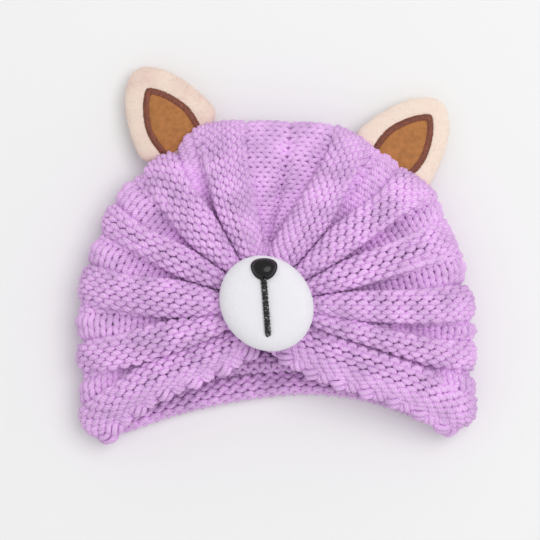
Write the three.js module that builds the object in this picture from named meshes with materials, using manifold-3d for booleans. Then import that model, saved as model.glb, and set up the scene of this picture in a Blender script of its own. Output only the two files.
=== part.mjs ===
// Chunky-knit baby turban with plush ears and a padded muzzle, lying on its back, face up.
//
// The turban is a knitted tube of horizontal ribs. A seam closes it over the crown, and the middle of
// its front is gathered into a small bunch under the muzzle, so the ribs fan out from there, turn
// under at the side folds and run on across the back. It is open at the hem. Millimetres throughout:
// x to the right, y towards the crown, z up. While it is built the muzzle's centre is at x = y = 0
// and the surface that it lies on is z = 0; at the end the origin moves to the bottom centre.

import * as THREE from 'three';
import Module from 'manifold-3d';

const wasm = await Module();
wasm.setup();

const { degToRad, lerp, smoothstep } = THREE.MathUtils;

// ---------------------------------------------------------------------------------------------
// Driving dimensions
// ---------------------------------------------------------------------------------------------

const GAP = 0.3; // kept between pieces that touch

const FABRIC = {
  thickness: 4,
  outlineRelief: 1.2, // half the height of a rib at the side folds
  backRelief: 2.2, // before the floor flattens it
  rimCrest: 4.2, // height of a rib beside the muzzle
  pressed: 0.55, // share of that height left under the muzzle's edge
  rimCrease: 7.5, // depth of the crease between two ribs there
  hemCrease: 4, // the same for the rib along the hem
  hemSwell: 1.6, // how much fuller than the others the rib along the hem is at the side folds
  crownSink: 0.3, // share of a crease's depth by which the crown panel sinks to the seam
  insideFollows: 0.8, // share of the ribs' relief that shows inside
  swellPower: 0.8, // under 1, a rib is rounder than a sine wave
  nearPower: 1.1, // how fast the deep creases fade on the way out
  freedAt: 0.15, // share of the way out where the ribs are clear of the muzzle's edge
  flatInside: { from: 0.3, to: 0.75 }, // where the inside goes from flat to ribbed, on the way out
};

const FORM = {
  rim: 22, // distance from the centre where the ribs come out from under the muzzle
  gatherHalfLength: 14, // half the length of the gathered line under the muzzle
  gatherHeight: 36,
  domeHeight: 38,
  hemHeight: 29, // height of the hem's arch under the muzzle
  foldHeight: 15, // height of the side folds, where the outline is
  hemFoldHeight: 12.5,
  foldDepth: 13, // how far in from the outline the back lies flat
  foldShare: 0.75, // but no more than this share of the course's length
  backHeight: 1.4,
  domePower: 2.4,
};

const BACK = {
  centreX: 5,
  hemY: -40.6,
  seamEndY: 70,
  bend: 0.55, // share of the way from the middle to the fold where a course bends level
  hemRise: { left: -5, right: 1.5 }, // how far the hem's own bend lies above its middle
};

const HEM = {
  setIn: { left: 3.5, right: 5.8 }, // from the line of knots to where the lip starts
  outlineSetIn: 0.8, // the same at the side folds
  bulge: 2.6,
  rollExtra: 4.2, // how much thicker the back is where its hem rolls in
  frontRoll: 0.2, // share of that roll on the front
  edgeRoll: 0.3, // share of it left at the hem's own edge
  rollPower: 0.6, // under 1, the roll is blunter than a sine wave
  lipTurns: [0.25, 0.5, 0.75], // places round the lip, from the outer face to the inner
};

// Shares of the way from hem to seam over which the hem's own shape gives way to the dome's.
const HEM_REACH = { height: 0.3, crease: 0.12, back: 0.25 };

const EDGING = {
  thin: 2.2, // radius between two knots
  left: { knot: 3.7, pitch: 12.5, perKnot: 4 },
  right: { knot: 3.0, pitch: 6.6, perKnot: 2 },
  offLip: 1.6, // the roll's middle stands this far off the lip, which bites into it
  sides: 8,
};

const MUZZLE = { halfLength: 23.0, halfWidth: 20.5, turn: degToRad(-49), sides: 32 };

const NOSE = {
  x: -1.1,
  y: 15.6,
  halfWidth: 6.1,
  halfHeight: 5.0,
  tilt: degToRad(-17),
  topHeavy: 0.2, // how much wider it is above its middle, and narrower below
  fuller: 0.08, // how much wider it is at its top and bottom, and narrower at its sides
  sides: 24,
};

const MOUTH = {
  fromX: -1.35,
  fromY: 9.8,
  toX: 0.8,
  toY: -15,
  thin: 0.95,
  fat: 1.2,
  end: 0.57, // radius at its two ends
  pitch: 1.9,
  proud: 0.5, // its middle stands this far above the muzzle
  sides: 8,
};

const EAR = {
  thickSides: 16,
  baseHeight: 12, // of the plush's middle, at the knitted edge
  drop: degToRad(6), // the ear leans down towards its tip
  tuck: 6, // length hidden behind the knitted edge
  patchGap: 0.5,
  patchThickness: 1.1,
  borderWidth: 2.7,
  borderThickness: 1.7,
};

// ---------------------------------------------------------------------------------------------
// The knitted bands
// ---------------------------------------------------------------------------------------------

// From the front hem to the seam. Welts stand up as ribs, grooves sink between them.
const BANDS = [
  { name: 'hem welt', kind: 'welt', courses: 5 },
  { name: 'groove 5', kind: 'groove', courses: 4 },
  { name: 'welt 5', kind: 'welt', courses: 4 },
  { name: 'groove 4', kind: 'groove', courses: 4 },
  { name: 'welt 4', kind: 'welt', courses: 5 },
  { name: 'groove 3', kind: 'groove', courses: 4 },
  { name: 'welt 3', kind: 'welt', courses: 4 },
  { name: 'groove 2', kind: 'groove', courses: 4 },
  { name: 'welt 2', kind: 'welt', courses: 5 },
  { name: 'groove 1', kind: 'groove', courses: 4 },
  { name: 'welt 1', kind: 'welt', courses: 5 },
  { name: 'crown panel', kind: 'crown', courses: 5 },
];

const SEAM = { rim: 91, middle: 82, outline: 82.4, reach: 86.3 };

// The lines where one band ends and the next starts. Each runs out from the muzzle's rim, by its
// direction there, half way out and at the outline (degrees anticlockwise from +x), and its reach is
// the outline's distance from the muzzle's centre.
const CREASES = {
  left: [
    { rim: 249, middle: 218.6, outline: 219.6, reach: 101.6 },
    { rim: 219, middle: 207, outline: 209, reach: 98.8 },
    { rim: 214, middle: 206, outline: 200.5, reach: 94.6 },
    { rim: 199, middle: 191, outline: 191.6, reach: 91 },
    { rim: 189, middle: 185, outline: 180, reach: 89 },
    { rim: 169.5, middle: 167.4, outline: 167.4, reach: 87.4 },
    { rim: 160.5, middle: 160.5, outline: 157, reach: 85.8 },
    { rim: 145, middle: 147.4, outline: 146.7, reach: 87.4 },
    { rim: 141, middle: 141, outline: 134, reach: 86 },
    { rim: 123, middle: 122, outline: 121, reach: 85 },
    { rim: 120, middle: 117.5, outline: 111, reach: 89 },
    { rim: 97, middle: 98, outline: 97, reach: 86.2 },
    SEAM,
  ],
  right: [
    { rim: -69, middle: -36.2, outline: -33.2, reach: 110.3 },
    { rim: -30, middle: -24, outline: -23.4, reach: 106.5 },
    { rim: -26, middle: -21.5, outline: -18.5, reach: 103.2 },
    { rim: -15, middle: -12.4, outline: -10, reach: 99.8 },
    { rim: -10, middle: -9.6, outline: -4.6, reach: 99 },
    { rim: 6, middle: 6.8, outline: 5.6, reach: 95.9 },
    { rim: 11, middle: 11, outline: 14.5, reach: 93.9 },
    { rim: 27, middle: 27, outline: 25.8, reach: 92.4 },
    { rim: 33, middle: 31.5, outline: 32.6, reach: 95 },
    { rim: 49, middle: 45.6, outline: 45.6, reach: 90.5 },
    { rim: 53.7, middle: 54.2, outline: 55, reach: 89 },
    { rim: 85, middle: 66.5, outline: 69, reach: 89.9 },
    SEAM,
  ],
};

const NEAR_OUTLINE = 0.88; // share of a rib's length from which it counts as close to the outline

const ROWS_IN_BAND = [0, 0.2, 0.5, 0.8];

// Places along a course: gathered under the muzzle, out over the front, round the side fold and
// across the back to its middle.
const COLUMNS = [
  ...[0, 0.35, 0.7].map((at) => ({ zone: 'gather', at })),
  ...[0, 0.1, 0.22, 0.35, 0.48, 0.6, 0.72, 0.82, 0.9, 0.96].map((at) => ({ zone: 'front', at })),
  ...[0, 0.25, 0.5, 0.75].map((at) => ({ zone: 'fold', at })),
  ...[0, 0.2, 0.4, 0.6, 0.8, 1].map((at) => ({ zone: 'back', at })),
];

const LAST_COLUMN = COLUMNS.length - 1;
const LAST_ROW = BANDS.length * ROWS_IN_BAND.length;
const ALL_COURSES = BANDS.reduce((sum, band) => sum + band.courses, 0);

// Band, place in the band and share of the way from hem to seam, for each row of the shell.
function listRows() {
  const rows = [];
  let before = 0;
  BANDS.forEach((band, index) => {
    for (const inBand of ROWS_IN_BAND) {
      rows.push({ band, index, inBand, climb: (before + inBand * band.courses) / ALL_COURSES });
    }
    before += band.courses;
  });
  rows.push({ band: BANDS[BANDS.length - 1], index: BANDS.length - 1, inBand: 1, climb: 1 });
  return rows;
}

const ROWS = listRows();

// ---------------------------------------------------------------------------------------------
// Closed bodies
// ---------------------------------------------------------------------------------------------

function signedVolume(points, faces) {
  let volume = 0;
  for (const [a, b, c] of faces) {
    volume += points[a].dot(new THREE.Vector3().crossVectors(points[b], points[c])) / 6;
  }
  return volume;
}

// A closed body from points and triangles, turned so that its faces point out.
function closedBody(points, faces) {
  const outward = signedVolume(points, faces) > 0;
  const geometry = new THREE.BufferGeometry().setFromPoints(points);
  geometry.setIndex(faces.flatMap(([a, b, c]) => (outward ? [a, b, c] : [a, c, b])));
  return geometry;
}

// Leaves out the points that no face uses.
function usedOnly(points, faces) {
  const renumbered = new Map();
  const kept = [];
  const newFaces = faces.map((face) => face.map((k) => {
    if (!renumbered.has(k)) renumbered.set(k, kept.push(points[k]) - 1);
    return renumbered.get(k);
  }));
  return [kept, newFaces];
}

// A body lofted through closed rings of equal count, with a fan over each end.
function loft(rings) {
  const count = rings[0].length;
  const points = rings.flat();
  const faces = [];
  for (let ring = 0; ring + 1 < rings.length; ring += 1) {
    for (let k = 0; k < count; k += 1) {
      const a = ring * count + k;
      const b = ring * count + ((k + 1) % count);
      faces.push([a, b, b + count], [a, b + count, a + count]);
    }
  }
  const last = (rings.length - 1) * count;
  const middles = [rings[0], rings[rings.length - 1]].map((ring) => {
    const middle = new THREE.Vector3();
    ring.forEach((point) => middle.addScaledVector(point, 1 / count));
    return points.push(middle) - 1;
  });
  for (let k = 0; k < count; k += 1) {
    const next = (k + 1) % count;
    faces.push([next, k, middles[0]], [last + k, last + next, middles[1]]);
  }
  return closedBody(points, faces);
}

// A thin body between an upper and a lower grid of points.
function slab(upper, lower) {
  const width = upper[0].length;
  const height = upper.length;
  const points = [...upper.flat(), ...lower.flat()];
  const under = width * height;
  const faces = [];
  for (let row = 0; row + 1 < height; row += 1) {
    for (let k = 0; k + 1 < width; k += 1) {
      const a = row * width + k;
      const c = a + width + 1;
      faces.push([a, a + 1, c], [a, c, a + width]);
      faces.push([a + under + 1, a + under, c + under], [c + under, a + under, a + under + width]);
    }
  }
  const edge = [];
  for (let k = 0; k < width; k += 1) edge.push(k);
  for (let row = 1; row < height; row += 1) edge.push(row * width + width - 1);
  for (let k = width - 2; k >= 0; k -= 1) edge.push((height - 1) * width + k);
  for (let row = height - 2; row > 0; row -= 1) edge.push(row * width);
  edge.forEach((a, k) => {
    const b = edge[(k + 1) % edge.length];
    faces.push([b, a, a + under], [b, a + under, b + under]);
  });
  return closedBody(points, faces);
}

function toManifold(geometry) {
  const vertProperties = new Float32Array(geometry.getAttribute('position').array);
  const triVerts = new Uint32Array(geometry.getIndex().array);
  return new wasm.Manifold(new wasm.Mesh({ numProp: 3, vertProperties, triVerts }));
}

// The body with the cutters taken away.
function cutAway(geometry, ...cutters) {
  const cut = cutters.reduce((rest, cutter) => rest.subtract(toManifold(cutter)), toManifold(geometry));
  const { vertProperties, triVerts } = cut.getMesh();
  const result = new THREE.BufferGeometry();
  result.setAttribute('position', new THREE.BufferAttribute(new Float32Array(vertProperties), 3));
  result.setIndex(Array.from(triVerts));
  return result;
}

// ---------------------------------------------------------------------------------------------
// The knitted shell
// ---------------------------------------------------------------------------------------------

// Direction and reach of a row, between the two creases of its band.
function rowLine(side, row) {
  const lower = CREASES[side][row.index];
  const upper = CREASES[side][row.index + 1];
  const between = (key) => lerp(lower[key], upper[key], row.inBand);
  return {
    rim: between('rim'),
    middle: between('middle'),
    outline: between('outline'),
    reach: between('reach'),
  };
}

// The hem's own rows stop short of its edge, which the rounded lip and the edging fill.
function setInFromHem(side, row, out, distance) {
  const share = row.index === 0 ? 1 - row.inBand : 0;
  const setIn = share * lerp(HEM.setIn[side], HEM.outlineSetIn, smoothstep(out, NEAR_OUTLINE, 1));
  return (side === 'left' ? -1 : 1) * Math.atan(setIn / distance);
}

function frontPlan(side, row, out) {
  const line = rowLine(side, row);
  const rimShare = (1 - out) ** 3;
  const outlineShare = out ** 3;
  const middleShare = 1 - rimShare - outlineShare;
  const degrees = rimShare * line.rim + middleShare * line.middle + outlineShare * line.outline;
  const distance = lerp(FORM.rim, line.reach, out);
  const angle = degToRad(degrees) + setInFromHem(side, row, out, distance);
  return new THREE.Vector2(Math.cos(angle), Math.sin(angle)).multiplyScalar(distance);
}

// The course on the back: from the side fold, bending level, to the middle of the back.
function backCurve(side, row) {
  const start = frontPlan(side, row, 1);
  const y = lerp(BACK.hemY, BACK.seamEndY, row.climb);
  const rise = BACK.hemRise[side] * (1 - smoothstep(row.climb, 0, HEM_REACH.back));
  const bend = new THREE.Vector2(start.x * BACK.bend, y + rise);
  return new THREE.QuadraticBezierCurve(start, bend, new THREE.Vector2(BACK.centreX, y));
}

// The middle of the relief, before ribs and thickness.
function basePoint(side, row, column) {
  const { zone, at } = column;
  const awayFromHem = smoothstep(row.climb, 0, HEM_REACH.height);
  const top = lerp(FORM.hemHeight, FORM.domeHeight, awayFromHem);
  const fold = lerp(FORM.hemFoldHeight, FORM.foldHeight, awayFromHem);
  if (zone === 'gather') {
    const start = new THREE.Vector2(0, lerp(-FORM.gatherHalfLength, FORM.gatherHalfLength, row.climb));
    const plan = start.lerp(frontPlan(side, row, 0), at);
    const middle = Math.min(FORM.gatherHeight, top);
    return new THREE.Vector3(plan.x, plan.y, lerp(middle, top, at));
  }
  if (zone === 'front') {
    const plan = frontPlan(side, row, at);
    return new THREE.Vector3(plan.x, plan.y, lerp(fold, top, Math.sqrt(1 - at ** FORM.domePower)));
  }
  const curve = backCurve(side, row);
  const length = curve.getLength();
  const foldDepth = Math.min(FORM.foldDepth, FORM.foldShare * length);
  const turned = zone === 'fold' ? at * (Math.PI / 2) : Math.PI / 2;
  const along = (foldDepth / length) * (1 - Math.cos(turned));
  const plan = curve.getPoint(zone === 'fold' ? along : lerp(along, 1, at));
  return new THREE.Vector3(plan.x, plan.y, lerp(fold, FORM.backHeight, Math.sin(turned)));
}

// 1 beside the muzzle, falling to 0 at the outline.
function nearMuzzle({ zone, at }) {
  if (zone === 'gather') return 1;
  return zone === 'front' ? (1 - at) ** FABRIC.nearPower : 0;
}

// How far the ribs rise and the creases between them sink, at a place.
function reliefRange(row, column) {
  const near = nearMuzzle(column);
  const rimCrease = lerp(FABRIC.hemCrease, FABRIC.rimCrease, smoothstep(row.climb, 0, HEM_REACH.crease));
  const onBack = { gather: 0, front: 0, fold: column.at, back: 1 }[column.zone];
  const plain = lerp(FABRIC.outlineRelief, FABRIC.backRelief, onBack);
  const free = smoothstep(column.at, 0, FABRIC.freedAt);
  const freed = { gather: 0, front: free, fold: 1, back: 1 }[column.zone];
  const crest = lerp(plain, FABRIC.rimCrest, near) * lerp(FABRIC.pressed, 1, freed);
  return { crest, crease: lerp(plain, rimCrease, near) };
}

// Height of the outer face above the base, along its normal.
function relief(row, column) {
  const { crest, crease } = reliefRange(row, column);
  const fade = column.zone === 'gather' ? column.at : 1;
  const swell = Math.sin(Math.PI * row.inBand) ** FABRIC.swellPower;
  if (row.index === 0) return fade * lerp(crest * FABRIC.hemSwell, crest, nearMuzzle(column)) * swell;
  if (row.band.kind === 'welt') return fade * crest * swell;
  if (row.band.kind === 'groove') return -fade * crease * swell;
  return -fade * crease * FABRIC.crownSink * smoothstep(row.inBand, 0, 1);
}

// Height of the inner face. It follows the ribs away from the muzzle, lies flat under the packed
// pleats beside it, and swells to the rolled hem on the back.
function innerHeight(row, column) {
  const { from, to } = FABRIC.flatInside;
  const flat = { gather: 1, front: 1 - smoothstep(column.at, from, to), fold: 0, back: 0 }[column.zone];
  const { frontRoll, edgeRoll } = HEM;
  const rolled = {
    gather: frontRoll,
    front: frontRoll,
    fold: lerp(frontRoll, 1, column.at),
    back: 1,
  }[column.zone];
  const roundness = Math.sin(Math.PI * row.inBand) ** HEM.rollPower;
  const roll = row.index === 0 ? rolled * lerp(edgeRoll, 1, roundness) : 0;
  const followed = FABRIC.insideFollows * (1 - flat) * relief(row, column);
  return followed - flat * reliefRange(row, column).crease - FABRIC.thickness - HEM.rollExtra * roll;
}

// The grid of the whole shell, with the two sides joined along the gathered line, the seam and the
// middle of the back.
function makeGrid() {
  const ids = new Map();
  const places = [];
  const id = (side, row, column) => {
    const shared = row === LAST_ROW || column === 0 || column === LAST_COLUMN;
    const key = [shared ? 'both' : side, row, column].join();
    if (!ids.has(key)) ids.set(key, places.push({ side, row: ROWS[row], column: COLUMNS[column] }) - 1);
    return ids.get(key);
  };
  const faces = (step) => {
    const list = [];
    for (const side of ['left', 'right']) {
      for (let row = 0; row < LAST_ROW; row += step) {
        for (let column = 0; column < LAST_COLUMN; column += 1) {
          const a = id(side, row, column);
          const b = id(side, row, column + 1);
          const c = id(side, row + step, column + 1);
          const d = id(side, row + step, column);
          if (side === 'right') list.push([a, b, c], [a, c, d]);
          else list.push([a, c, b], [a, d, c]);
        }
      }
    }
    return list;
  };
  const fine = faces(1);
  const coarse = faces(2);
  const base = places.map(({ side, row, column }) => basePoint(side, row, column));
  const geometry = new THREE.BufferGeometry().setFromPoints(base);
  geometry.setIndex(fine.flat());
  geometry.computeVertexNormals();
  const normal = geometry.getAttribute('normal');
  const normals = base.map((_, k) => new THREE.Vector3().fromBufferAttribute(normal, k));
  return { id, places, base, normals, fine, coarse };
}

const GRID = makeGrid();

function outerPoints(grown) {
  return GRID.places.map(({ row, column }, k) => {
    const point = GRID.base[k].clone().addScaledVector(GRID.normals[k], relief(row, column));
    point.z = Math.max(point.z, 0);
    return point.addScaledVector(GRID.normals[k], grown);
  });
}

function innerPoints(grown) {
  return GRID.places.map(({ row, column }, k) => (
    GRID.base[k].clone().addScaledVector(GRID.normals[k], innerHeight(row, column) - grown)
  ));
}

// The places along the hem, once round: left side first, then the right side back to the middle.
function hemLoop() {
  const loop = [];
  for (let column = 0; column <= LAST_COLUMN; column += 1) loop.push({ side: 'left', column });
  for (let column = LAST_COLUMN - 1; column > 0; column -= 1) loop.push({ side: 'right', column });
  return loop;
}

// The direction off the hem's edge, away from the fabric.
function offHem(side, column) {
  return GRID.base[GRID.id(side, 0, column)].clone().sub(GRID.base[GRID.id(side, 1, column)]).normalize();
}

// The rounded lip between the outer and the inner face, as rings round the hem.
function lipRings(outer, inner, grown) {
  return HEM.lipTurns.map((share) => hemLoop().map(({ side, column }) => {
    const here = GRID.id(side, 0, column);
    const turned = share * Math.PI;
    const middle = outer[here].clone().lerp(inner[here], 0.5 - 0.5 * Math.cos(turned));
    return middle.addScaledVector(offHem(side, column), (HEM.bulge + grown) * Math.sin(turned));
  }));
}

// The shell itself, or with grown more than 0 a thicker one for cutting what lies against it.
function knitCap(grown) {
  const outer = outerPoints(grown);
  const inner = innerPoints(grown);
  const lip = lipRings(outer, inner, grown);
  const loop = hemLoop().map(({ side, column }) => GRID.id(side, 0, column));
  const count = outer.length;
  const points = [...outer, ...inner, ...lip.flat()];
  const rings = [
    loop,
    ...lip.map((ring, r) => ring.map((_, k) => 2 * count + r * loop.length + k)),
    loop.map((k) => count + k),
  ];
  const faces = [...GRID.fine, ...GRID.coarse.map(([a, b, c]) => [count + a, count + c, count + b])];
  for (let ring = 0; ring + 1 < rings.length; ring += 1) {
    loop.forEach((_, k) => {
      const next = (k + 1) % loop.length;
      const [a, b, c, d] = [rings[ring][k], rings[ring][next], rings[ring + 1][next], rings[ring + 1][k]];
      faces.push([a, b, c], [a, c, d]);
    });
  }
  return closedBody(...usedOnly(points, faces));
}

// The outside of the shell as one filled body, grown by a gap: what the ears are shaped against.
function filledCap() {
  const points = outerPoints(GAP);
  const loop = hemLoop().map(({ side, column }) => GRID.id(side, 0, column));
  const middle = new THREE.Vector3();
  loop.forEach((k) => middle.addScaledVector(points[k], 1 / loop.length));
  points.push(middle);
  const fan = loop.map((k, n) => [k, loop[(n + 1) % loop.length], points.length - 1]);
  return closedBody(points, [...GRID.fine, ...fan]);
}

// ---------------------------------------------------------------------------------------------
// The knotted edging of the front hem
// ---------------------------------------------------------------------------------------------

function ringAround(middle, along, radius, sides) {
  const across = new THREE.Vector3(0, 0, 1).cross(along).normalize();
  const up = along.clone().cross(across).normalize();
  return Array.from({ length: sides }, (_, k) => {
    const turn = (2 * Math.PI * k) / sides;
    return middle.clone()
      .addScaledVector(across, radius * Math.cos(turn))
      .addScaledVector(up, radius * Math.sin(turn));
  });
}

// The line of knots on one side, from the side fold in to the middle of the front.
function edgingPath(side, offLip) {
  const lip = lipRings(outerPoints(0), innerPoints(0), 0)[1];
  const path = [];
  hemLoop().forEach((place, k) => {
    const { zone } = COLUMNS[place.column];
    const onSide = place.side === side || place.column === 0;
    if (!onSide || zone === 'back' || zone === 'fold') return;
    const point = lip[k].clone().addScaledVector(offHem(side, place.column), offLip);
    path.push({ column: place.column, point });
  });
  return path.sort((a, b) => b.column - a.column).map(({ point }) => point);
}

// Stations from a side fold inwards, with the radius of the beaded roll at each.
function beadStations(length, { pitch, knot, perKnot }) {
  const steps = Math.round((length / pitch) * perKnot);
  return Array.from({ length: steps }, (_, k) => {
    const at = (k / steps) * length;
    const swell = Math.abs(Math.cos((Math.PI * (k - 1)) / perKnot));
    return { at, radius: lerp(EDGING.thin, knot, swell) };
  });
}

function hemEdging() {
  const left = edgingPath('left', EDGING.offLip);
  const right = edgingPath('right', EDGING.offLip).reverse();
  const curve = new THREE.CatmullRomCurve3([...left, ...right.slice(1)]);
  const length = curve.getLength();
  const leftLength = new THREE.CatmullRomCurve3(left).getLength();
  const leftBeads = beadStations(leftLength, EDGING.left);
  const rightBeads = beadStations(length - leftLength, EDGING.right);
  const inwards = rightBeads.map(({ at, radius }) => ({ at: length - at, radius })).reverse();
  const stations = [...leftBeads, ...inwards];
  const rings = stations.map(({ at, radius }) => {
    const share = at / length;
    return ringAround(curve.getPointAt(share), curve.getTangentAt(share), radius, EDGING.sides);
  });
  return cutAway(loft(rings), knitCap(GAP));
}

// ---------------------------------------------------------------------------------------------
// Muzzle, nose and mouth
// ---------------------------------------------------------------------------------------------

// The muzzle's section, from the middle of its underside round to the middle of its top.
const MUZZLE_SECTION = [
  { share: 0.3, z: 37.4 },
  { share: 0.6, z: 38.9 },
  { share: 0.9, z: 41.1 },
  { share: 1, z: 43.8 },
  { share: 0.975, z: 46.4 },
  { share: 0.87, z: 49.4 },
  { share: 0.66, z: 51.7 },
  { share: 0.36, z: 53 },
  { share: 0.1, z: 53.4 },
];
const MUZZLE_WIDEST = 3;

function muzzle(grown) {
  return loft(MUZZLE_SECTION.map(({ share, z }, k) => {
    const lift = k < MUZZLE_WIDEST ? -grown : grown;
    return Array.from({ length: MUZZLE.sides }, (_, n) => {
      const turn = (2 * Math.PI * n) / MUZZLE.sides;
      const length = (MUZZLE.halfLength * share + grown) * Math.cos(turn);
      const width = (MUZZLE.halfWidth * share + grown) * Math.sin(turn);
      const plan = new THREE.Vector2(length, width).rotateAround(new THREE.Vector2(), MUZZLE.turn);
      return new THREE.Vector3(plan.x, plan.y, z + lift);
    });
  }));
}

// Height of the muzzle's top above a place.
function muzzleTop(x, y) {
  const plan = new THREE.Vector2(x, y).rotateAround(new THREE.Vector2(), -MUZZLE.turn);
  const share = Math.hypot(plan.x / MUZZLE.halfLength, plan.y / MUZZLE.halfWidth);
  const top = MUZZLE_SECTION.slice(MUZZLE_WIDEST);
  const outer = top.findLast((section) => section.share >= share) ?? top[0];
  const inner = top[top.indexOf(outer) + 1];
  return inner ? lerp(outer.z, inner.z, (outer.share - share) / (outer.share - inner.share)) : outer.z;
}

// From its back, sunk in the muzzle, over the thin rim to the top of the dome.
const NOSE_SECTION = [
  { share: 0.8, lift: -2.2 },
  { share: 1, lift: -0.6 },
  { share: 1, lift: 0.7 },
  { share: 0.9, lift: 1.1 },
  { share: 0.84, lift: 2.1 },
  { share: 0.62, lift: 3.5 },
  { share: 0.3, lift: 4.3 },
];

function nose() {
  const middle = new THREE.Vector3(NOSE.x, NOSE.y, muzzleTop(NOSE.x, NOSE.y));
  const tilt = new THREE.Euler(NOSE.tilt, 0, 0);
  const body = loft(NOSE_SECTION.map(({ share, lift }) => Array.from({ length: NOSE.sides }, (_, n) => {
    const turn = (2 * Math.PI * n) / NOSE.sides;
    const narrowing = 1 + NOSE.topHeavy * Math.sin(turn) - NOSE.fuller * Math.cos(2 * turn);
    const x = NOSE.halfWidth * share * Math.cos(turn) * narrowing;
    const y = NOSE.halfHeight * share * Math.sin(turn);
    return new THREE.Vector3(x, y, lift).applyEuler(tilt).add(middle);
  })));
  return cutAway(body, muzzle(GAP));
}

// A stitched cord laid over the muzzle, from under the nose to the chin.
function mouthCord() {
  const from = new THREE.Vector2(MOUTH.fromX, MOUTH.fromY);
  const to = new THREE.Vector2(MOUTH.toX, MOUTH.toY);
  const steps = 2 * Math.round(from.distanceTo(to) / MOUTH.pitch);
  const middles = Array.from({ length: steps + 1 }, (_, k) => {
    const plan = from.clone().lerp(to, k / steps);
    return new THREE.Vector3(plan.x, plan.y, muzzleTop(plan.x, plan.y) + MOUTH.proud);
  });
  const along = new THREE.Vector3(to.x - from.x, to.y - from.y, 0).normalize();
  const rings = middles.map((middle, k) => {
    const atEnd = k === 0 || k === steps;
    const radius = atEnd ? MOUTH.end : [MOUTH.thin, MOUTH.fat][k % 2];
    return ringAround(middle, along, radius, MOUTH.sides);
  });
  return cutAway(loft(rings), muzzle(GAP));
}

// ---------------------------------------------------------------------------------------------
// Ears
// ---------------------------------------------------------------------------------------------

// Each ear's visible length runs from the knitted edge to its tip, along its axis (degrees from +x).
const EARS = {
  left: { baseX: -41, baseY: 77.2, axis: 123, visible: 38.5, patchStart: 11.2, plushShift: 0.6 },
  right: { baseX: 60.7, baseY: 68.3, axis: 50, visible: 34, patchStart: 8.7, plushShift: -0.4 },
};

const PLUSH_SECTION = [
  { fromTip: 0, halfWidth: 1.6, halfThickness: 0.8 },
  { fromTip: 1, halfWidth: 3.9, halfThickness: 1.8 },
  { fromTip: 3.3, halfWidth: 6.9, halfThickness: 3 },
  { fromTip: 7, halfWidth: 10.8, halfThickness: 4 },
  { fromTip: 11.5, halfWidth: 13.6, halfThickness: 4.6 },
  { fromTip: 19, halfWidth: 17, halfThickness: 5 },
  { fromTip: 27, halfWidth: 19.3, halfThickness: 5.2 },
  { fromTip: 35, halfWidth: 20.5, halfThickness: 5.2 },
  { fromTip: 45, halfWidth: 21, halfThickness: 5 },
];

// The embroidered arch on the ear, outside of its border, measured from its own tip.
const ARCH_SECTION = [
  { fromTip: 0, halfWidth: 0 },
  { fromTip: 1.1, halfWidth: 1.9 },
  { fromTip: 2.9, halfWidth: 3.7 },
  { fromTip: 5.7, halfWidth: 5.9 },
  { fromTip: 10.7, halfWidth: 8.7 },
  { fromTip: 16.9, halfWidth: 11.1 },
  { fromTip: 22.3, halfWidth: 11.7 },
  { fromTip: 27, halfWidth: 11.4 },
  { fromTip: 32, halfWidth: 11 },
];

const PLUSH_POWER = 2.3;

const PATCH = { steps: 6, narrowest: 0.8 }; // places across it, and half its width at its point

function plushSection(fromTip) {
  const last = PLUSH_SECTION.length - 2;
  const k = Math.min(PLUSH_SECTION.findLastIndex((section) => section.fromTip <= fromTip), last);
  const [a, b] = [PLUSH_SECTION[k], PLUSH_SECTION[k + 1]];
  const share = Math.min((fromTip - a.fromTip) / (b.fromTip - a.fromTip), 1);
  return {
    halfWidth: lerp(a.halfWidth, b.halfWidth, share),
    halfThickness: lerp(a.halfThickness, b.halfThickness, share),
  };
}

// Height of the plush's face over its middle plane.
function plushFace(x, fromTip) {
  const { halfWidth, halfThickness } = plushSection(fromTip);
  return halfThickness * Math.max(1 - Math.abs(x / halfWidth) ** PLUSH_POWER, 0) ** (1 / PLUSH_POWER);
}

// Places a point given by its side step, its distance from the tip and its height in an ear.
function earPlacer(ear) {
  const turn = new THREE.Matrix4().makeRotationZ(degToRad(ear.axis - 90));
  const lean = new THREE.Matrix4().makeRotationX(-EAR.drop);
  const move = new THREE.Matrix4().makeTranslation(ear.baseX, ear.baseY, EAR.baseHeight);
  const place = move.multiply(turn).multiply(lean);
  return (x, fromTip, z) => new THREE.Vector3(x, ear.visible - fromTip, z).applyMatrix4(place);
}

function earPlush(ear) {
  const place = earPlacer(ear);
  const sections = PLUSH_SECTION.filter(({ fromTip }) => fromTip < ear.visible + EAR.tuck - 1);
  const rings = [...sections.map(({ fromTip }) => fromTip), ear.visible + EAR.tuck].map((fromTip) => {
    const { halfWidth, halfThickness } = plushSection(fromTip);
    return Array.from({ length: EAR.thickSides }, (_, n) => {
      const turn = (2 * Math.PI * n) / EAR.thickSides;
      const [c, s] = [Math.cos(turn), Math.sin(turn)];
      const x = halfWidth * Math.sign(c) * Math.abs(c) ** (2 / PLUSH_POWER);
      const z = halfThickness * Math.sign(s) * Math.abs(s) ** (2 / PLUSH_POWER);
      return place(x + ear.plushShift, fromTip, z);
    });
  });
  return cutAway(loft(rings), filledCap());
}

// The arch's line, moved in by a distance: from the base up one side, over the tip and down again.
function archLine(setIn) {
  const right = ARCH_SECTION.map(({ fromTip, halfWidth }) => new THREE.Vector2(halfWidth, fromTip));
  const line = [...right.slice(1).map((p) => new THREE.Vector2(-p.x, p.y)).reverse(), ...right];
  return line.map((point, k) => {
    const along = line[Math.min(k + 1, line.length - 1)].clone().sub(line[Math.max(k - 1, 0)]).normalize();
    return new THREE.Vector2(-along.y, along.x).multiplyScalar(setIn).add(point);
  });
}

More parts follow.
